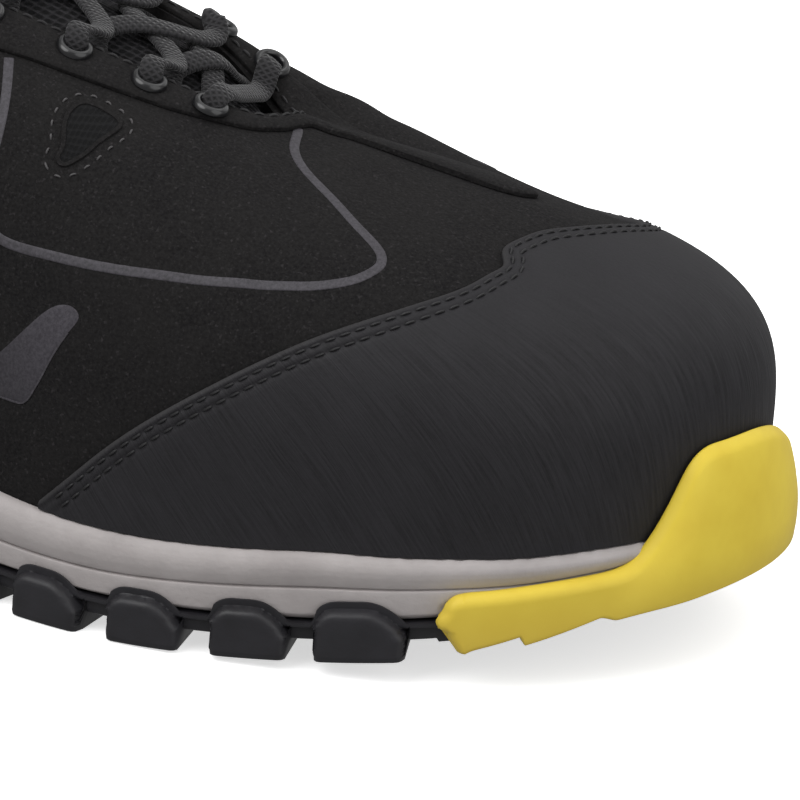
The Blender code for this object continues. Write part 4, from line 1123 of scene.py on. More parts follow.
def side_width(x, inner):
    """How far the sole edge lies from the midline at a length."""
    places = np.linspace(1.0, 2.0, 400) if inner else np.linspace(0.0, 1.0, 400)
    rim = EDGE.at(places)
    order = np.argsort(rim[:, 0])
    return np.interp(x, rim[order, 0], rim[order, 1])


def chevron(share):
    """One bar: rings across the shoe, each a rectangle with drawn-in lower corners."""
    x = (share - 0.5) * LENGTH
    outer = side_width(x, False) + TREAD_REACH + BAR_CHANNEL
    inner = side_width(x, True) - TREAD_REACH - BAR_CHANNEL
    across = np.linspace(0, 1, 13)
    y = outer + (inner - outer) * across
    bend = x + BAR_POINT * (1 - np.abs(across * 2 - 1))
    low = ground(x)
    high = low + PLATE_LOW + 1.0 * MM
    half = BAR_LENGTH / 2
    profile = ((-half, high), (half, high), (half, low + 0.7 * MM), (half - 0.7 * MM, low),
               (0.7 * MM - half, low), (-half, low + 0.7 * MM))
    points = np.stack([np.stack([bend + dx, y, np.full(13, z)], -1) for dx, z in profile], 1)
    return points, skin_quads(13, 6)


piece("tread_bars_rubber", *join_pieces([chevron(share) for share in BARS]), RUBBER, slot="rubber")
print("tread bars made")

# %% [markdown]
# ## The toe bumper
# The guard is a moulded strip that wraps the toe: two long arms low on the sole, and a tall front
# that laps up over the foot of the upper. It has a rounded top edge, a rounded rear end and two
# notches in its foot. Its section is swept along the arms by stations close enough to keep these.

# %% Toe bumper
BUMPER_PROUD = 0.0028
BUMPER_BULGE = 0.00265
BUMPER_FOOT = 0.0012
BUMPER_TOE_LIFT = 0.0014
TOP_ROUND = 0.0023
TOP_INNER = 0.0008
FOOT_ROUND = 0.0008
# Steps in the foot: shares of the arm at the high and the low end of each ramp, its rise and the
# share of the arm over which it drops again
BUMPER_STEPS = ((0.585, 0.785, 0.0015, 0.058), (0.80, 0.97, 0.0020, 0.018))


def turn_at(place, height):
    """The turn at which the upper stands at a height over the foot line."""
    row = table(UPPER, place, 2.0)
    wall = (row[..., 2] * COLLAR_HEIGHT - foot_height(EDGE.at(place)[..., 0])) * row[..., 3]
    rise = np.clip(height / wall, 0, 0.999)
    across = (1 - rise ** row[..., 4]) ** (1 / row[..., 4])
    return np.arctan2(rise, across) / (math.pi / 2)


def bumper_point(place, out, height):
    """Point over the sole's side, or over the foot of the upper, at a height over the ground."""
    x = EDGE.at(place)[..., 0]
    base = ground(x)
    stack = foot_height(x) - base
    below = side_point(place, out, base + height)
    above = face(place, turn_at(place, np.maximum(height - stack, 0)), out + UPPER_INSET)
    lean = smooth_step(height, stack - 0.5 * MM, stack + 1.5 * MM)[..., None]
    return below * (1 - lean) + above * lean


def bumper_profile():
    """Section: share of the height, lift from there and distance out, both in metres."""
    thick = BUMPER_PROUD + BUMPER_SEAT - CLEARANCE
    top = math.pi / 2 * np.linspace(1, 0, 8)
    foot = math.pi / 2 * np.linspace(0, 1, 5)
    inner = math.pi / 2 * np.linspace(0, 1, 4)
    rows = [(share, 0.0, 0.0) for share in (0.05, 0.3, 0.6, 0.85)]
    rows += [(1, TOP_INNER * (math.sin(a) - 1), TOP_INNER * (1 - math.cos(a))) for a in inner]
    rows += [(1, TOP_ROUND * (math.sin(a) - 1), thick - TOP_ROUND * (1 - math.cos(a))) for a in top]
    rows += [(share, -TOP_ROUND * share, thick) for share in np.linspace(0.95, 0.16, 12)]
    rows += [(0, FOOT_ROUND * (1 - math.sin(a)), thick - FOOT_ROUND * (1 - math.cos(a))) for a in foot]
    rows += [(0, 0.0, thick * 0.5), (0, 0.0, 0.1 * MM)]
    return np.array(rows)


def make_toe_bumper():
    """The section at shares of both arms, between the top line and a foot line with ramps."""
    half = np.unique(np.concatenate([
        np.linspace(0, 1, 101), np.linspace(0.53, 0.60, 19), np.linspace(0.77, 0.815, 17),
        np.linspace(0.95, 1, 16)]))
    shares = np.concatenate([half[::-1], half[1:]])
    inner = np.arange(len(shares)) >= len(half)
    top = BUMPER_HEIGHT * table(BUMPER, np.where(inner, shares, -shares))[:, 0]
    low = BUMPER_FOOT + BUMPER_TOE_LIFT * smooth_step(1 - shares, 0.1, 0.6)
    for front, rear, rise, drop in BUMPER_STEPS:
        ramp = np.clip((rear - shares) / (rear - front), 0, 1)
        low = low + rise * ramp * smooth_step(shares, front - drop, front)
    end = np.clip((1 - shares) * BUMPER_ARM / (2.6 * MM), 0, 1)
    rounded = np.sqrt(1 - (1 - end) ** 2)
    top = top - 2.0 * MM * (1 - rounded)
    low = low + 0.5 * MM * (1 - rounded)
    profile = bumper_profile()
    height = low[:, None] + (top - low)[:, None] * profile[:, 0] + profile[:, 1]
    reach = CLEARANCE - BUMPER_SEAT + profile[:, 2] * (0.3 + 0.7 * rounded)[:, None]
    body = 1 - (((height - low[:, None]) / (top - low)[:, None] - 0.25) / 0.62) ** 2
    front = 1 - smooth_step(shares, 0.30, 0.60)
    reach = reach + BUMPER_BULGE * front[:, None] * body * smooth_step(profile[:, 2], 0, 3 * MM)
    slant = np.interp(height, [0.0010, 0.0055, 0.0064, 0.0068, 0.0080, 0.0090, 0.0100],
                      [3.4, 0.9, 0.55, -0.9, -1.3, -0.8, 0.0])
    slant = slant * MM / BUMPER_ARM * smooth_step(shares, 0.90, 1.0)[:, None]
    grid = shares[:, None] - slant
    place = np.where(inner[:, None], arm_place(grid, True), arm_place(grid, False))
    points = bumper_point(place, reach, height)
    return loft("toe_bumper_guard", points, GUARD, replaced=["toe_bumper"], slot="guard", sharp=50)


make_toe_bumper()
print("toe bumper made")

# %% [markdown]
# ## Insole, collar and tongue
# The insole is a flat foam sheet under cloth. The collar is a foam roll in knit lining, and the
# tongue is a foam pad in spacer mesh. Both are closed splines through given points, joined
# along the shoe.

# %% Insole
INSOLE_THICKNESS = 0.0040
INSOLE_INSET = 0.0062


def make_insole(count=360):
    """Rings inside the upper, drawn in over a rounded top edge."""
    places = round_places(count)
    low = UPPER_WALL + CLEARANCE * 2 - RIM_DEPTH
    high = low + INSOLE_THICKNESS
    rows = []
    for out, lift in ((0, low), (0, high - 1.2 * MM), (0.35 * MM, high - 0.4 * MM), (1.2 * MM, high)):
        rows.append(foot_point(places, np.full(count, -INSOLE_INSET - out), lift))
    flat = np.concatenate([row[:, :2] for row in rows]).reshape(len(rows), count, 2)
    return loft("insole_cloth", rows, LINING, uv=flat, replaced=["insole"], slot="textile")


make_insole()
print("insole made")


# %% Collar
COLLAR_PAD = 0.0100
COLLAR_ROLL = 0.0060
COLLAR_END = 0.41
COLLAR_TAPER = (0.26, 0.40)
COLLAR_THIN = 0.35
# Turn on the wall, depth as a share of the pad, rise over the rim as a share of the roll
COLLAR_SECTION = (
    (1.00, 0.00, 0.00), (0.89, 0.00, 0.00), (0.78, 0.00, 0.00), (0.66, 0.03, 0.00),
    (0.72, 0.60, 0.00), (0.84, 1.00, 0.00), (0.97, 1.00, 0.00), (1.00, 0.88, 0.50),
    (1.00, 0.50, 1.00), (1.00, 0.05, 0.95), (1.00, -0.20, 0.50),
)


def round_spline(points, count):
    """Closed splines through the points of each section, by their usual distances apart."""
    chords = np.linalg.norm(np.roll(points, -1, axis=1) - points, axis=-1).mean(0)
    knots = np.append(0, np.cumsum(chords))
    at = np.linspace(0, knots[-1], count, endpoint=False)
    return np.swapaxes(spline(knots[:-1], np.swapaxes(points, 0, 1), at, knots[-1]), 0, 1)


def length_map(sections):
    """Surface map of a loft in metres: length along the path and length round the section."""
    steps = np.linalg.norm(np.diff(sections.mean(1), axis=0), axis=-1)
    along = np.append(0, np.cumsum(steps))[:, None]
    turns = np.linalg.norm(np.diff(sections, axis=1), axis=-1).mean(0)
    around = np.append(0, np.cumsum(turns))[None, :]
    along, around = np.broadcast_arrays(along, around)
    return np.stack([along, around], -1)


def make_collar():
    """Splines through points set by turn, depth and rise, thinner towards the front."""
    places = np.linspace(2 - COLLAR_END, 2 + COLLAR_END, 261)
    front = np.abs(places - 2)
    thin = 1 - (1 - COLLAR_THIN) * smooth_step(front, *COLLAR_TAPER)
    up = unit(section(places, 1.0) - section(places, 0.93))
    inside = UPPER_WALL + CLEARANCE
    rings = []
    for turn, pad, rise in COLLAR_SECTION:
        depth = inside + pad * COLLAR_PAD * (thin if pad > 0 else 1)
        rings.append(face(places, turn, -depth) + up * (rise * COLLAR_ROLL * thin)[:, None])
    rings.append(face(places, 1.0, -CLEARANCE) + up * CLEARANCE * 2)
    rings.append(face(places, 1.0, -inside) + up * CLEARANCE * 2)
    sections = round_spline(np.stack(rings, 1), 60)
    return loft("collar_pad", sections, LINING, uv=length_map(sections), replaced=["collar"],
                slot="textile")


collar = make_collar()
print("collar made")


# %% Tongue
TONGUE_PAD = 0.0060
TONGUE_RISE = 0.0260
TONGUE_GAP = 0.0008
TONGUE_PLACES = (0.46, 0.50, 0.56, 0.625, 0.69, 0.76, 0.83, 0.89, 0.94, 0.97)
TONGUE_TUCK = 0.87
TONGUE_FREE = 0.98
TUCK_SPAN = (0.46, 0.56)
TONGUE_THICKNESS = np.array((0.25, 0.90, 1.00, 1.00, 1.00, 0.90, 0.25))
TONGUE_STAND = 0.85
# Free end of the tongue: share of its rise, width, thickness and lean back from the throat
TONGUE_END = (
    (1.00, 0.46, 0.45, 1.00), (0.95, 0.70, 0.80, 1.00), (0.80, 0.84, 1.00, 1.00),
    (0.50, 0.88, 1.00, 0.95), (0.20, 0.90, 1.00, 0.55),
)


def tongue_section(place):
    """Section across the tongue: its top face from the outer to the inner side, then its back."""
    depth = UPPER_WALL + TONGUE_GAP
    sides = (place, 2 - place)
    tuck = TONGUE_FREE + (TONGUE_TUCK - TONGUE_FREE) * smooth_step(place, *TUCK_SPAN)
    tucked = [face(side, tuck, -depth) for side in sides]
    edges = [face(side, 1.0, -depth) for side in sides]
    across = edges[1] - edges[0]
    along = section(place - 0.02, 1.0) - section(place + 0.02, 1.0)
    along = along + section(2 - place + 0.02, 1.0) - section(2 - place - 0.02, 1.0)
    up = unit(np.cross(across, along))
    up = up * np.sign(up[2])
    crown = up * np.linalg.norm(across) * 0.10
    middle = (edges[0] + edges[1]) / 2 + crown
    quarter = [(middle + edge) / 2 + crown * 0.25 for edge in edges]
    top = np.array([tucked[0], edges[0], quarter[0], middle, quarter[1], edges[1], tucked[1]])
    back = top - up * TONGUE_THICKNESS[:, None] * TONGUE_PAD
    return np.vstack([top, back[::-1]]), middle, up


def make_tongue():
    """Sections under the throat, and a free end that turns up from the throat's own way."""
    first, middle, up = tongue_section(TONGUE_PLACES[0])
    back_way = unit(middle - tongue_section(TONGUE_PLACES[1])[1])
    rise_way = unit(back_way * (1 - TONGUE_STAND) + np.array([0, 0, TONGUE_STAND]))
    across = unit(first[6] - first[0])
    face_way = np.cross(across, rise_way)
    face_way = face_way * np.sign(face_way[0])
    side = (first[:7] - middle) @ across
    height = (first[:7] - middle) @ up
    sections = []
    for rise, width, thick, turn in TONGUE_END:
        facing = unit(up * (1 - turn) + face_way * turn)
        centre = middle + (back_way * (1 - turn) + rise_way * turn) * rise * TONGUE_RISE
        top = centre + np.outer(side * width, across) + np.outer(height * width, facing)
        back = top - np.outer(TONGUE_THICKNESS * TONGUE_PAD * thick, facing)
        sections.append(np.vstack([top, back[::-1]]))
    sections += [tongue_section(place)[0] for place in TONGUE_PLACES]
    sections = np.array(sections)
    steps = np.linalg.norm(np.diff(sections.mean(1), axis=0), axis=-1)
    knots = np.append(0, np.cumsum(steps))
    fine = spline(knots, sections, np.linspace(0, knots[-1], 150))
    fine = round_spline(fine, 56)
    return loft("tongue_pad", fine, MESH, uv=length_map(fine), replaced=["tongue"], slot="textile")


tongue = make_tongue()
print("tongue made")

# %% [markdown]
# ## Eyelets and laces
# A lacquered brass ring with a short barrel edges each hole. One flat braid runs through them all:
# it bars across the lowest pair, then crosses from side to side, over one edge and under the
# other, and comes up through the next eyelet. Its hidden ends stop at the top pair.

# %% Eyelets
EYELET_PLACES = (0.755, 0.690, 0.620, 0.545, 0.475)
EYELET_TURN = 0.925
LACE_LIFT = 0.0005
LACE_WIDTH = 0.0048
LACE_THICKNESS = 0.0018
# Ring of an eyelet: radius and height in millimetres, from the barrel over the rolled edge
RING = (
    (2.10, -1.6), (2.10, 0.45), (2.25, 0.85), (2.60, 1.12), (3.00, 1.15), (3.40, 0.90), (3.70, 0.45),
    (3.80, -0.15), (2.60, -0.30), (2.55, -1.6),
)


def eyelet_frame(place):
    """Centre of an eyelet on the eyestay and the way that it faces."""
    out = CLEARANCE + OVERLAY_WALL + LACE_LIFT
    return face(place, EYELET_TURN, out - 0.3 * MM), face_normal(place, EYELET_TURN)


def around_axis(centre, facing, profile, count):
    """Rings of a turned shape: each profile point at its radius round the axis."""
    side = unit(np.cross(facing, (0.0, 0.0, 1.0)))
    other = np.cross(facing, side)
    angle = np.arange(count)[:, None] * 2 * math.pi / count
    wheel = np.cos(angle) * side + np.sin(angle) * other
    radius = np.array(profile)[None, :, 0, None] * MM
    height = np.array(profile)[None, :, 1, None] * MM
    points = centre + wheel[:, None] * radius + facing * height
    return points, grid_quads(count, len(profile), True, True)


both_sides = [place for low in EYELET_PLACES for place in (low, 2 - low)]
rings = [around_axis(*eyelet_frame(place), RING, 36) for place in both_sides]
names = [f"eyelet_{side}_{k + 1}" for side in ("outer", "inner") for k in range(len(EYELET_PLACES))]
piece("eyelet_rings", *join_pieces(rings), LACQUER, replaced=names, slot="rubber")


# %% Laces
def throat_place(place):
    """Place whose throat edge lies beside the eyelet of another place."""
    steps = np.linspace(0.44, 0.99, 56)
    if place > 1:
        steps = 2 - steps
    return float(np.interp(eyelet_frame(place)[0][0], section(steps, 1.0)[:, 0], steps))


def on_top(place, crown):
    """Route from inside an eyelet, up over its ring and out over the throat edge."""
    centre, facing = eyelet_frame(place)
    way = crown - centre
    way = unit(way - facing * np.dot(way, facing))
    rise = LACE_THICKNESS / 2 + 1.1 * MM
    over = CLEARANCE + OVERLAY_WALL + LACE_LIFT + LACE_THICKNESS / 2
    return [centre - facing * 1.2 * MM, centre + facing * 0.9 * MM + way * 0.8 * MM,
            centre + facing * rise + way * 3.4 * MM, face(throat_place(place), 1.0, over)]


def underneath(place):
    """Route beside the throat edge, under it and back up into the eyelet."""
    near = throat_place(place)
    middle, up = tongue_section(min(near, 2 - near))[1:]
    edge = face(near, 1.0, -UPPER_WALL - TONGUE_GAP)
    way = unit(middle - edge)
    lift = up * (LACE_THICKNESS / 2 + LACE_LIFT)
    centre, facing = eyelet_frame(place)
    below = face(near, 0.96, -UPPER_WALL - 0.6 * MM)
    return [centre - facing * 3.0 * MM, below, edge + way * 4.2 * MM + lift]


def lace_tube(route, up):
    """A flat oval swept along a route, its width held square to the run."""
    route = np.array(route)
    steps = np.append(0, np.cumsum(np.linalg.norm(np.diff(route, axis=0), axis=1)))
    path = spline(steps, route, np.linspace(0, steps[-1], 70))
    way = unit(np.gradient(path, axis=0))
    side = unit(np.cross(up, route[-1] - route[0]))
    tall = unit(np.cross(way, side))
    wide = unit(np.cross(tall, way))
    angle = np.arange(18) * 2 * math.pi / 18
    across = np.sign(np.cos(angle)) * np.abs(np.cos(angle)) ** 0.7 * LACE_WIDTH / 2
    thick = np.sign(np.sin(angle)) * np.abs(np.sin(angle)) ** 0.8 * LACE_THICKNESS / 2
    points = path[:, None] + wide[:, None] * across[:, None] + tall[:, None] * thick[:, None]
    along = np.linspace(0, steps[-1], 70)[:, None] + across * 0
    uv = np.stack([along, across + along * 0], -1)
    return points, skin_quads(70, 18), uv


def crossing(start, stop, start_over, stop_over, lift):
    """One run from an eyelet on a side to the next one on the other side."""
    ends = [throat_place(place) for place in (start, stop)]
    middle, up = tongue_section(sum(min(place, 2 - place) for place in ends) / 2)[1:]
    crown = middle + up * (LACE_THICKNESS / 2 + LACE_LIFT * 2 + lift)
    first = on_top(start, crown) if start_over else underneath(start)
    last = on_top(stop, crown) if stop_over else underneath(stop)
    return lace_tube(first + [crown] + last[::-1], up)


runs = [crossing(EYELET_PLACES[0], 2 - EYELET_PLACES[0], True, True, 0.6 * MM)]
for k in range(len(EYELET_PLACES) - 1):
    low, high = EYELET_PLACES[k:k + 2]
    over = k > 0
    start = low if over else low + 0.35 * (high - low)
    runs.append(crossing(start, 2 - high, over, False, 0.1 * MM))
    runs.append(crossing(2 - start, high, over, False, 1.9 * MM))
lace_points, lace_quads = join_pieces([run[:2] for run in runs])
lace_uv = np.concatenate([run[2].reshape(-1, 2) for run in runs])
nodes = ["lace_bar"] + [f"lace_cross_{k + 1}" for k in range(4)]
piece("lace_braid", lace_points, lace_quads, BRAID, uv=lace_uv, replaced=nodes, slot="textile")
lace_length = sum(run[2][-1, 0, 0] for run in runs)
print("eyelets made, and lace in sight, mm:", round(lace_length / MM))

# %% [markdown]
# ## Stitches
# Seams are lockstitch in thick thread. Each stitch shows as a short, plump capsule whose ends dive
# into the leather. A line on the upper is cut into equal steps, and one small capsule is set on
# every step, so hundreds of stitches are still a single mesh.

# %% Stitches along lines
STITCH_PITCH = 3.1 * MM
STITCH_LENGTH = 2.4 * MM
STITCH_RADIUS = 0.27 * MM


def stitches_on(place, turn, rise, radius=STITCH_RADIUS, size=STITCH_LENGTH):
    """Capsules along a line on the face: rings of a squared circle shrink towards both ends."""
    fine = np.linspace(0, 1, 2500)
    line = np.linspace(0, 1, len(place))
    place = np.interp(fine, line, place)
    turn = np.interp(fine, line, turn)
    path = face(place, turn, rise)
    length = np.append(0, np.cumsum(np.linalg.norm(np.diff(path, axis=0), axis=1)))
    count = int(length[-1] / STITCH_PITCH)
    at = (np.arange(count) + 0.5) * length[-1] / count
    where = np.searchsorted(length, at)
    centre = path[where]
    way = unit(path[np.minimum(where + 12, 2499)] - path[np.maximum(where - 12, 0)])
    normal = face_normal(place[where], turn[where])
    side = np.cross(way, normal)
    along = np.array([-1, -0.82, -0.45, 0.0, 0.45, 0.82, 1]) * size / 2
    girth = np.array([0.25, 0.75, 0.97, 1.0, 0.97, 0.75, 0.25]) * radius
    sink = np.array([-0.30, -0.08, 0.10, 0.16, 0.10, -0.08, -0.30]) * MM
    angle = np.arange(6) * math.pi / 3
    ring = girth[:, None] * np.stack([np.cos(angle), np.sin(angle)], 0)[:, None]
    points = centre[:, None, None] + way[:, None, None] * along[:, None, None]
    points = points + side[:, None, None] * ring[0][..., None]
    points = points + normal[:, None, None] * (ring[1] + sink[:, None])[..., None]
    quads = skin_quads(7, 6)
    return [(block, quads) for block in points]


def cap_seam(distance):
    """Line beside the cap's edge, at a distance down the wall for minus."""
    places = np.linspace(0.567, 1.433, 1600)
    return beside(places, cap_edge(places), distance)


OVERLAY_RISE = CLEARANCE + OVERLAY_WALL - 0.10 * MM
dark_seams = []
for seam in SEAMS:
    dark_seams += stitches_on(*cap_seam(-seam), OVERLAY_RISE)
    counter_places = np.linspace(1.752, 2.248, 900)
    counter_line = beside(counter_places, counter_edge(counter_places), -seam)
    dark_seams += stitches_on(*counter_line, OVERLAY_RISE)
throat_line = np.linspace(0.475, 1.525, 1400)
dark_seams += stitches_on(*beside(throat_line, np.full(1400, EYESTAY_TOP), -SEAMS[0]), OVERLAY_RISE)
piece("seam_stitches", *join_pieces(dark_seams), THREAD, slot="textile")
print("dark stitches:", len(dark_seams))

# %% [markdown]
# ## Printed outline, patch and side window
# A grey film line two millimetres wide loops over the quarter, and a film patch fades out below
# it. Near the throat a window is cut in the suede over dark mesh, with a rolled rim and pale
# stitches. All three follow the face: lines are moved sideways over it to give them width.

# %% Ribbons over the face
# Profile of a ribbon: share of the half width, share of the thickness
RIBBON = ((-1.0, 0.1), (-0.93, 0.7), (-0.8, 1.0), (-0.3, 1.0), (0.3, 1.0), (0.8, 1.0), (0.93, 0.7),
          (1.0, 0.1), (0.9, -0.4), (0.3, -0.4), (-0.3, -0.4), (-0.9, -0.4))


def line_on(points, count, closed=False):
    """Places and turns along a smooth line through control points, evenly spaced in metres."""
    points = np.array(points, float)
    if closed:
        points = np.vstack([points, points[:1]])
    spots = section(points[:, 0], points[:, 1])
    knots = np.append(0, np.cumsum(np.linalg.norm(np.diff(spots, axis=0), axis=1)))
    if closed:
        return spline(knots[:-1], points[:-1], np.linspace(0, knots[-1], count + 1)[:-1], knots[-1]).T
    return spline(knots, points, np.linspace(0, knots[-1], count)).T


def ribbon(place, turn, width, thick, base=0.0, closed=False):
    """A thin band over the face, as closed sections across its line."""
    if closed:
        place = np.concatenate([place[-2:], place, place[:2]])
        turn = np.concatenate([turn[-2:], turn, turn[:2]])
    columns = []
    for side, rise in RIBBON:
        where = beside(place, turn, np.full(len(place), side * width / 2))
        lift = folds(section(*where)) + base + rise * thick
        columns.append(face(where[0], where[1], lift))
    sections = np.stack(columns, 1)
    if closed:
        sections = sections[2:-2]
    return sections, skin_quads(len(sections), len(RIBBON), closed)


def mirrored(points):
    """The same line on the other side: two less each place."""
    return [(2 - place, turn) for place, turn in points]


# %% Printed outline
PRINT_LINE = (
    (0.556, 0.830), (0.546, 0.740), (0.534, 0.650), (0.522, 0.570), (0.517, 0.520), (0.518, 0.488),
    (0.527, 0.467), (0.540, 0.462), (0.555, 0.464), (0.581, 0.470), (0.615, 0.482), (0.647, 0.496),
    (0.680, 0.510), (0.712, 0.526), (0.733, 0.538), (0.751, 0.553), (0.768, 0.570), (0.782, 0.588),
    (0.793, 0.605), (0.800, 0.624), (0.803, 0.645), (0.804, 0.682), (0.806, 0.712), (0.809, 0.742),
    (0.813, 0.785), (0.820, 0.826), (0.831, 0.858), (0.852, 0.894), (0.884, 0.925), (0.928, 0.952),
)
prints = []
for points in (PRINT_LINE, mirrored(PRINT_LINE[:-9])):
    prints.append(ribbon(*line_on(points, 420), 2.0 * MM, 0.14 * MM))
piece("printed_outline", *join_pieces(prints), FILM, slot="textile")

print("printed outline made, one line on each side")

# %% Patch
PATCH_TOP = ((0.497, 0.180), (0.513, 0.228), (0.527, 0.270), (0.542, 0.321), (0.551, 0.350),
             (0.558, 0.370), (0.565, 0.385), (0.570, 0.3915), (0.5745, 0.394))
PATCH_LOW = ((0.497, 0.170), (0.513, 0.178), (0.527, 0.185), (0.538, 0.188), (0.543, 0.192), (0.547, 0.205),
             (0.550, 0.222), (0.555, 0.252), (0.561, 0.290), (0.568, 0.326), (0.573, 0.348), (0.578, 0.367),
             (0.5803, 0.381), (0.5785, 0.3905), (0.5755, 0.3938))


def patch_shell(high, low):
    """A sheet between two lines: places and turns blend from one to the other."""
    first = np.array(line_on(low, 70))
    second = np.array(line_on(high, 70))
    share = np.linspace(0, 1, 12)[:, None, None]
    place, turn = np.swapaxes(first + (second - first) * share, 0, 1)
    base = folds(section(place, turn))
    edge = np.minimum(share[..., 0], 1 - share[..., 0]) * 11
    film = face(place, turn, base + 0.13 * MM * np.clip(edge + 0.15, 0, 1))
    under = face(place, turn, base - 0.05 * MM)
    sections = np.swapaxes(np.concatenate([film, under[::-1]]), 0, 1)
    fade = np.linspace(0, 1, 70)[:, None] + np.zeros(24)
    return (sections, skin_quads(70, 24)), fade


patches = [patch_shell(PATCH_TOP, PATCH_LOW), patch_shell(mirrored(PATCH_TOP), mirrored(PATCH_LOW))]
fades = np.concatenate([fade.ravel() for shell, fade in patches])
piece("printed_patch", *join_pieces([shell for shell, fade in patches]), PATCH_FILM,
      values={"fade": fades}, slot="textile")
edges = [ribbon(*line_on(points[:-4], 120), 0.4 * MM, 0.18 * MM)
         for points in (PATCH_LOW, mirrored(PATCH_LOW))]
piece("printed_patch_edge", *join_pieces(edges), FILM, slot="textile")

print("patch made, points on its two sides:", len(fades))

# %% Side window
WINDOW = ((0.5775, 0.641), (0.5800, 0.631), (0.590, 0.646), (0.600, 0.668), (0.612, 0.700), (0.628, 0.738),
          (0.638, 0.768), (0.630, 0.788), (0.610, 0.784), (0.595, 0.745), (0.586, 0.690), (0.581, 0.656))


def window_pane(points):
    """A sheet inside a closed line: rings of the line drawn in towards its middle."""
    place, turn = line_on(points, 120, closed=True)
    middle = (place.mean(), turn.mean())
    share = np.array([1.0, 0.98, 0.8, 0.6, 0.4, 0.2, 0.03])[:, None]
    rings = (middle[0] + (place - middle[0]) * share, middle[1] + (turn - middle[1]) * share)
    base = folds(section(*rings))
    top = face(*rings, base + 0.25 * MM)
    under = face(*rings, base + 0.02 * MM)
    rows = np.concatenate([top[::-1], under])
    return rows, skin_quads(14, 120)


panes = join_pieces([window_pane(WINDOW), window_pane(mirrored(WINDOW))])
piece("window_mesh", *panes, WINDOW_CLOTH, uv=panes[0][:, [0, 2]], slot="textile")
rims = []
pale_seams = []
for points in (WINDOW, mirrored(WINDOW)):
    place, turn = line_on(points, 240, closed=True)
    rims.append(ribbon(place, turn, 1.0 * MM, 0.50 * MM, closed=True))
    ways_round = -1 if points is WINDOW else 1
    around = [np.concatenate([values, values[:8]]) for values in (place, turn)]
    outside = beside(*around, np.full(248, 2.5 * MM * ways_round))
    pale_seams += stitches_on(*outside, 0.10 * MM, 0.22 * MM, 1.5 * MM)
piece("window_rim", *join_pieces(rims), SUEDE, slot="suede")
piece("window_stitches", *join_pieces(pale_seams), PALE_THREAD, slot="textile")
print("window made, pale stitches:", len(pale_seams))

# %% [markdown]
# ## Floor, light and camera
# The shoe stands on white studio paper under a soft key light from the upper left and three weaker
# ones from above, from the toe and from behind, and a grey world fills the shadows. The paper is
# kept out of bounced light, which leaves the shoe's flanks dark as they are on a raised glass
# table, and no edge of it is seen. The camera has a long lens, stands about four and a half metres
# away and is rolled a little.

# %% Floor and light
def make_floor(size=6.0):
    """A large square of paper that neither bounces light nor shows in what shines."""
    mesh = bpy.data.meshes.new("studio_floor")
    corners = [(-size, -size, 0), (size, -size, 0), (size, size, 0), (-size, size, 0)]
    mesh.from_pydata(corners, [], [(0, 1, 2, 3)])
    paper, tree, shader, place = start_finish("white_studio_paper", {
        "Roughness": 0.9, "Specular IOR Level": 0.1, "Emission Color": linear("#FFFFFF"),
        "Emission Strength": 0.6})
    fibre = add(tree, NOISE, blotches(place["Object"], 3 * MM, 2.0, 0.5))
    tone = add(tree, MIX, {0: fibre, 6: linear("#FCFCFC"), 7: linear("#FFFFFF")}, COLOURS, 2)
    tree.links.new(tone, shader.inputs["Base Color"])
    mesh.materials.append(paper)
    item = bpy.data.objects.new("studio_floor", mesh)
    item.visible_diffuse = False
    item.visible_glossy = False
    bpy.context.scene.collection.objects.link(item)


def soft_sun(name, from_way, spread_degrees, radiance):
    """A sun with a wide disc: its strength is the radiance that it gives white paper, times pi."""
    data = bpy.data.lights.new(name, "SUN")
    data.energy = radiance * math.pi
    data.angle = math.radians(spread_degrees)
    item = bpy.data.objects.new(name, data)
    item.rotation_euler = Vector(from_way).to_track_quat("Z", "Y").to_euler()
    item.location = Vector(from_way) * 3
    bpy.context.scene.collection.objects.link(item)


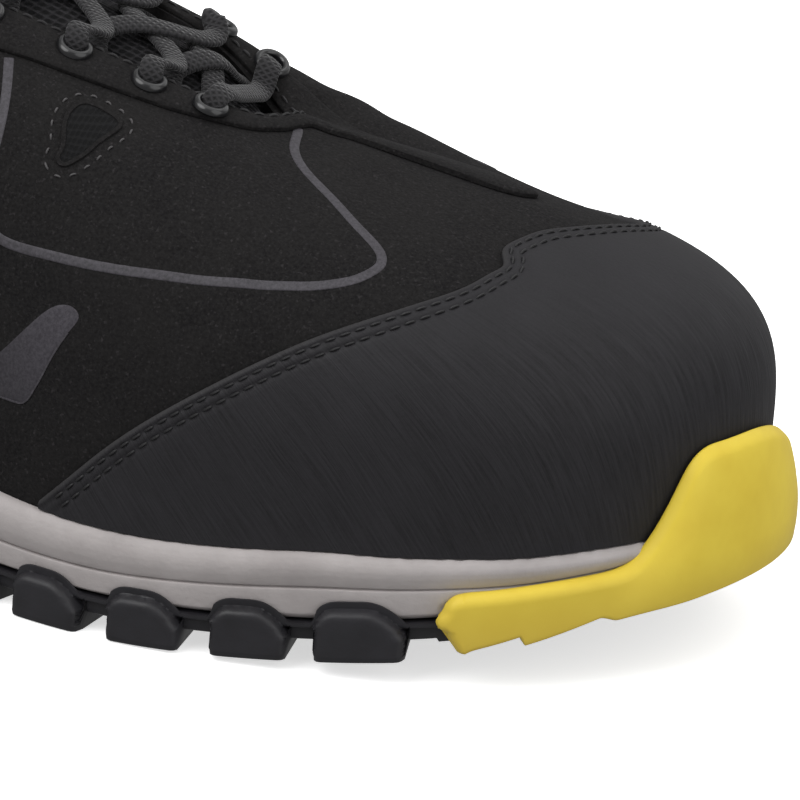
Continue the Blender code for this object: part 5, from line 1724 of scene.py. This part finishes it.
make_floor()
world = bpy.data.worlds.new("grey_studio")
bpy.context.scene.world = world
world.use_nodes = True
world.node_tree.nodes["Background"].inputs["Color"].default_value = (1.0, 1.0, 1.0, 1.0)
world.node_tree.nodes["Background"].inputs["Strength"].default_value = 0.36
soft_sun("key_from_upper_left", (-0.41, -0.56, 0.72), 50, 0.55)
soft_sun("top_softbox", (0.15, 0.10, 0.98), 75, 0.30)
soft_sun("front_softbox", (0.90, -0.25, 0.35), 60, 0.28)
soft_sun("fill_from_behind", (0.30, 0.80, 0.50), 60, 0.12)
bpy.context.scene.view_settings.view_transform = "Standard"
print("lights:", len(bpy.data.lights))

# %% Camera
AZIMUTH = math.radians(22.67)
ELEVATION = math.radians(20.69)
ROLL = math.radians(4.92)
DISTANCE = 4.530
TARGET = Vector((0.090, 0.0009, 0.030))
# How far the camera stands to the right and up of the line to its target
SHIFT = (-0.009115, 0.010809)
LENS = 1040.9
back = Vector((math.sin(AZIMUTH) * math.cos(ELEVATION), -math.cos(AZIMUTH) * math.cos(ELEVATION),
               math.sin(ELEVATION)))
right = Vector((math.cos(AZIMUTH), math.sin(AZIMUTH), 0.0))
up = back.cross(right)
right_turned = right * math.cos(ROLL) + up * math.sin(ROLL)
up_turned = up * math.cos(ROLL) - right * math.sin(ROLL)
camera_data = bpy.data.cameras.new("long_lens")
camera_data.lens = LENS
camera_data.sensor_width = 36.0
camera_data.clip_start = 0.5
camera_data.clip_end = 60.0
camera = bpy.data.objects.new("long_lens", camera_data)
bpy.context.scene.collection.objects.link(camera)
camera.rotation_mode = "QUATERNION"
turned = [[right_turned[k], up_turned[k], back[k]] for k in range(3)]
camera.rotation_quaternion = Matrix(turned).to_quaternion()
camera.location = TARGET + back * DISTANCE + right_turned * SHIFT[0] + up_turned * SHIFT[1]
bpy.context.scene.camera = camera
print("camera at", [round(value, 3) for value in camera.location])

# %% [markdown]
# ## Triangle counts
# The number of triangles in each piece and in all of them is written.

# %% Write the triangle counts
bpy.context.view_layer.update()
for label, triangles in PIECES:
    print(label, triangles)
print("triangles in all:", sum(triangles for label, triangles in PIECES))
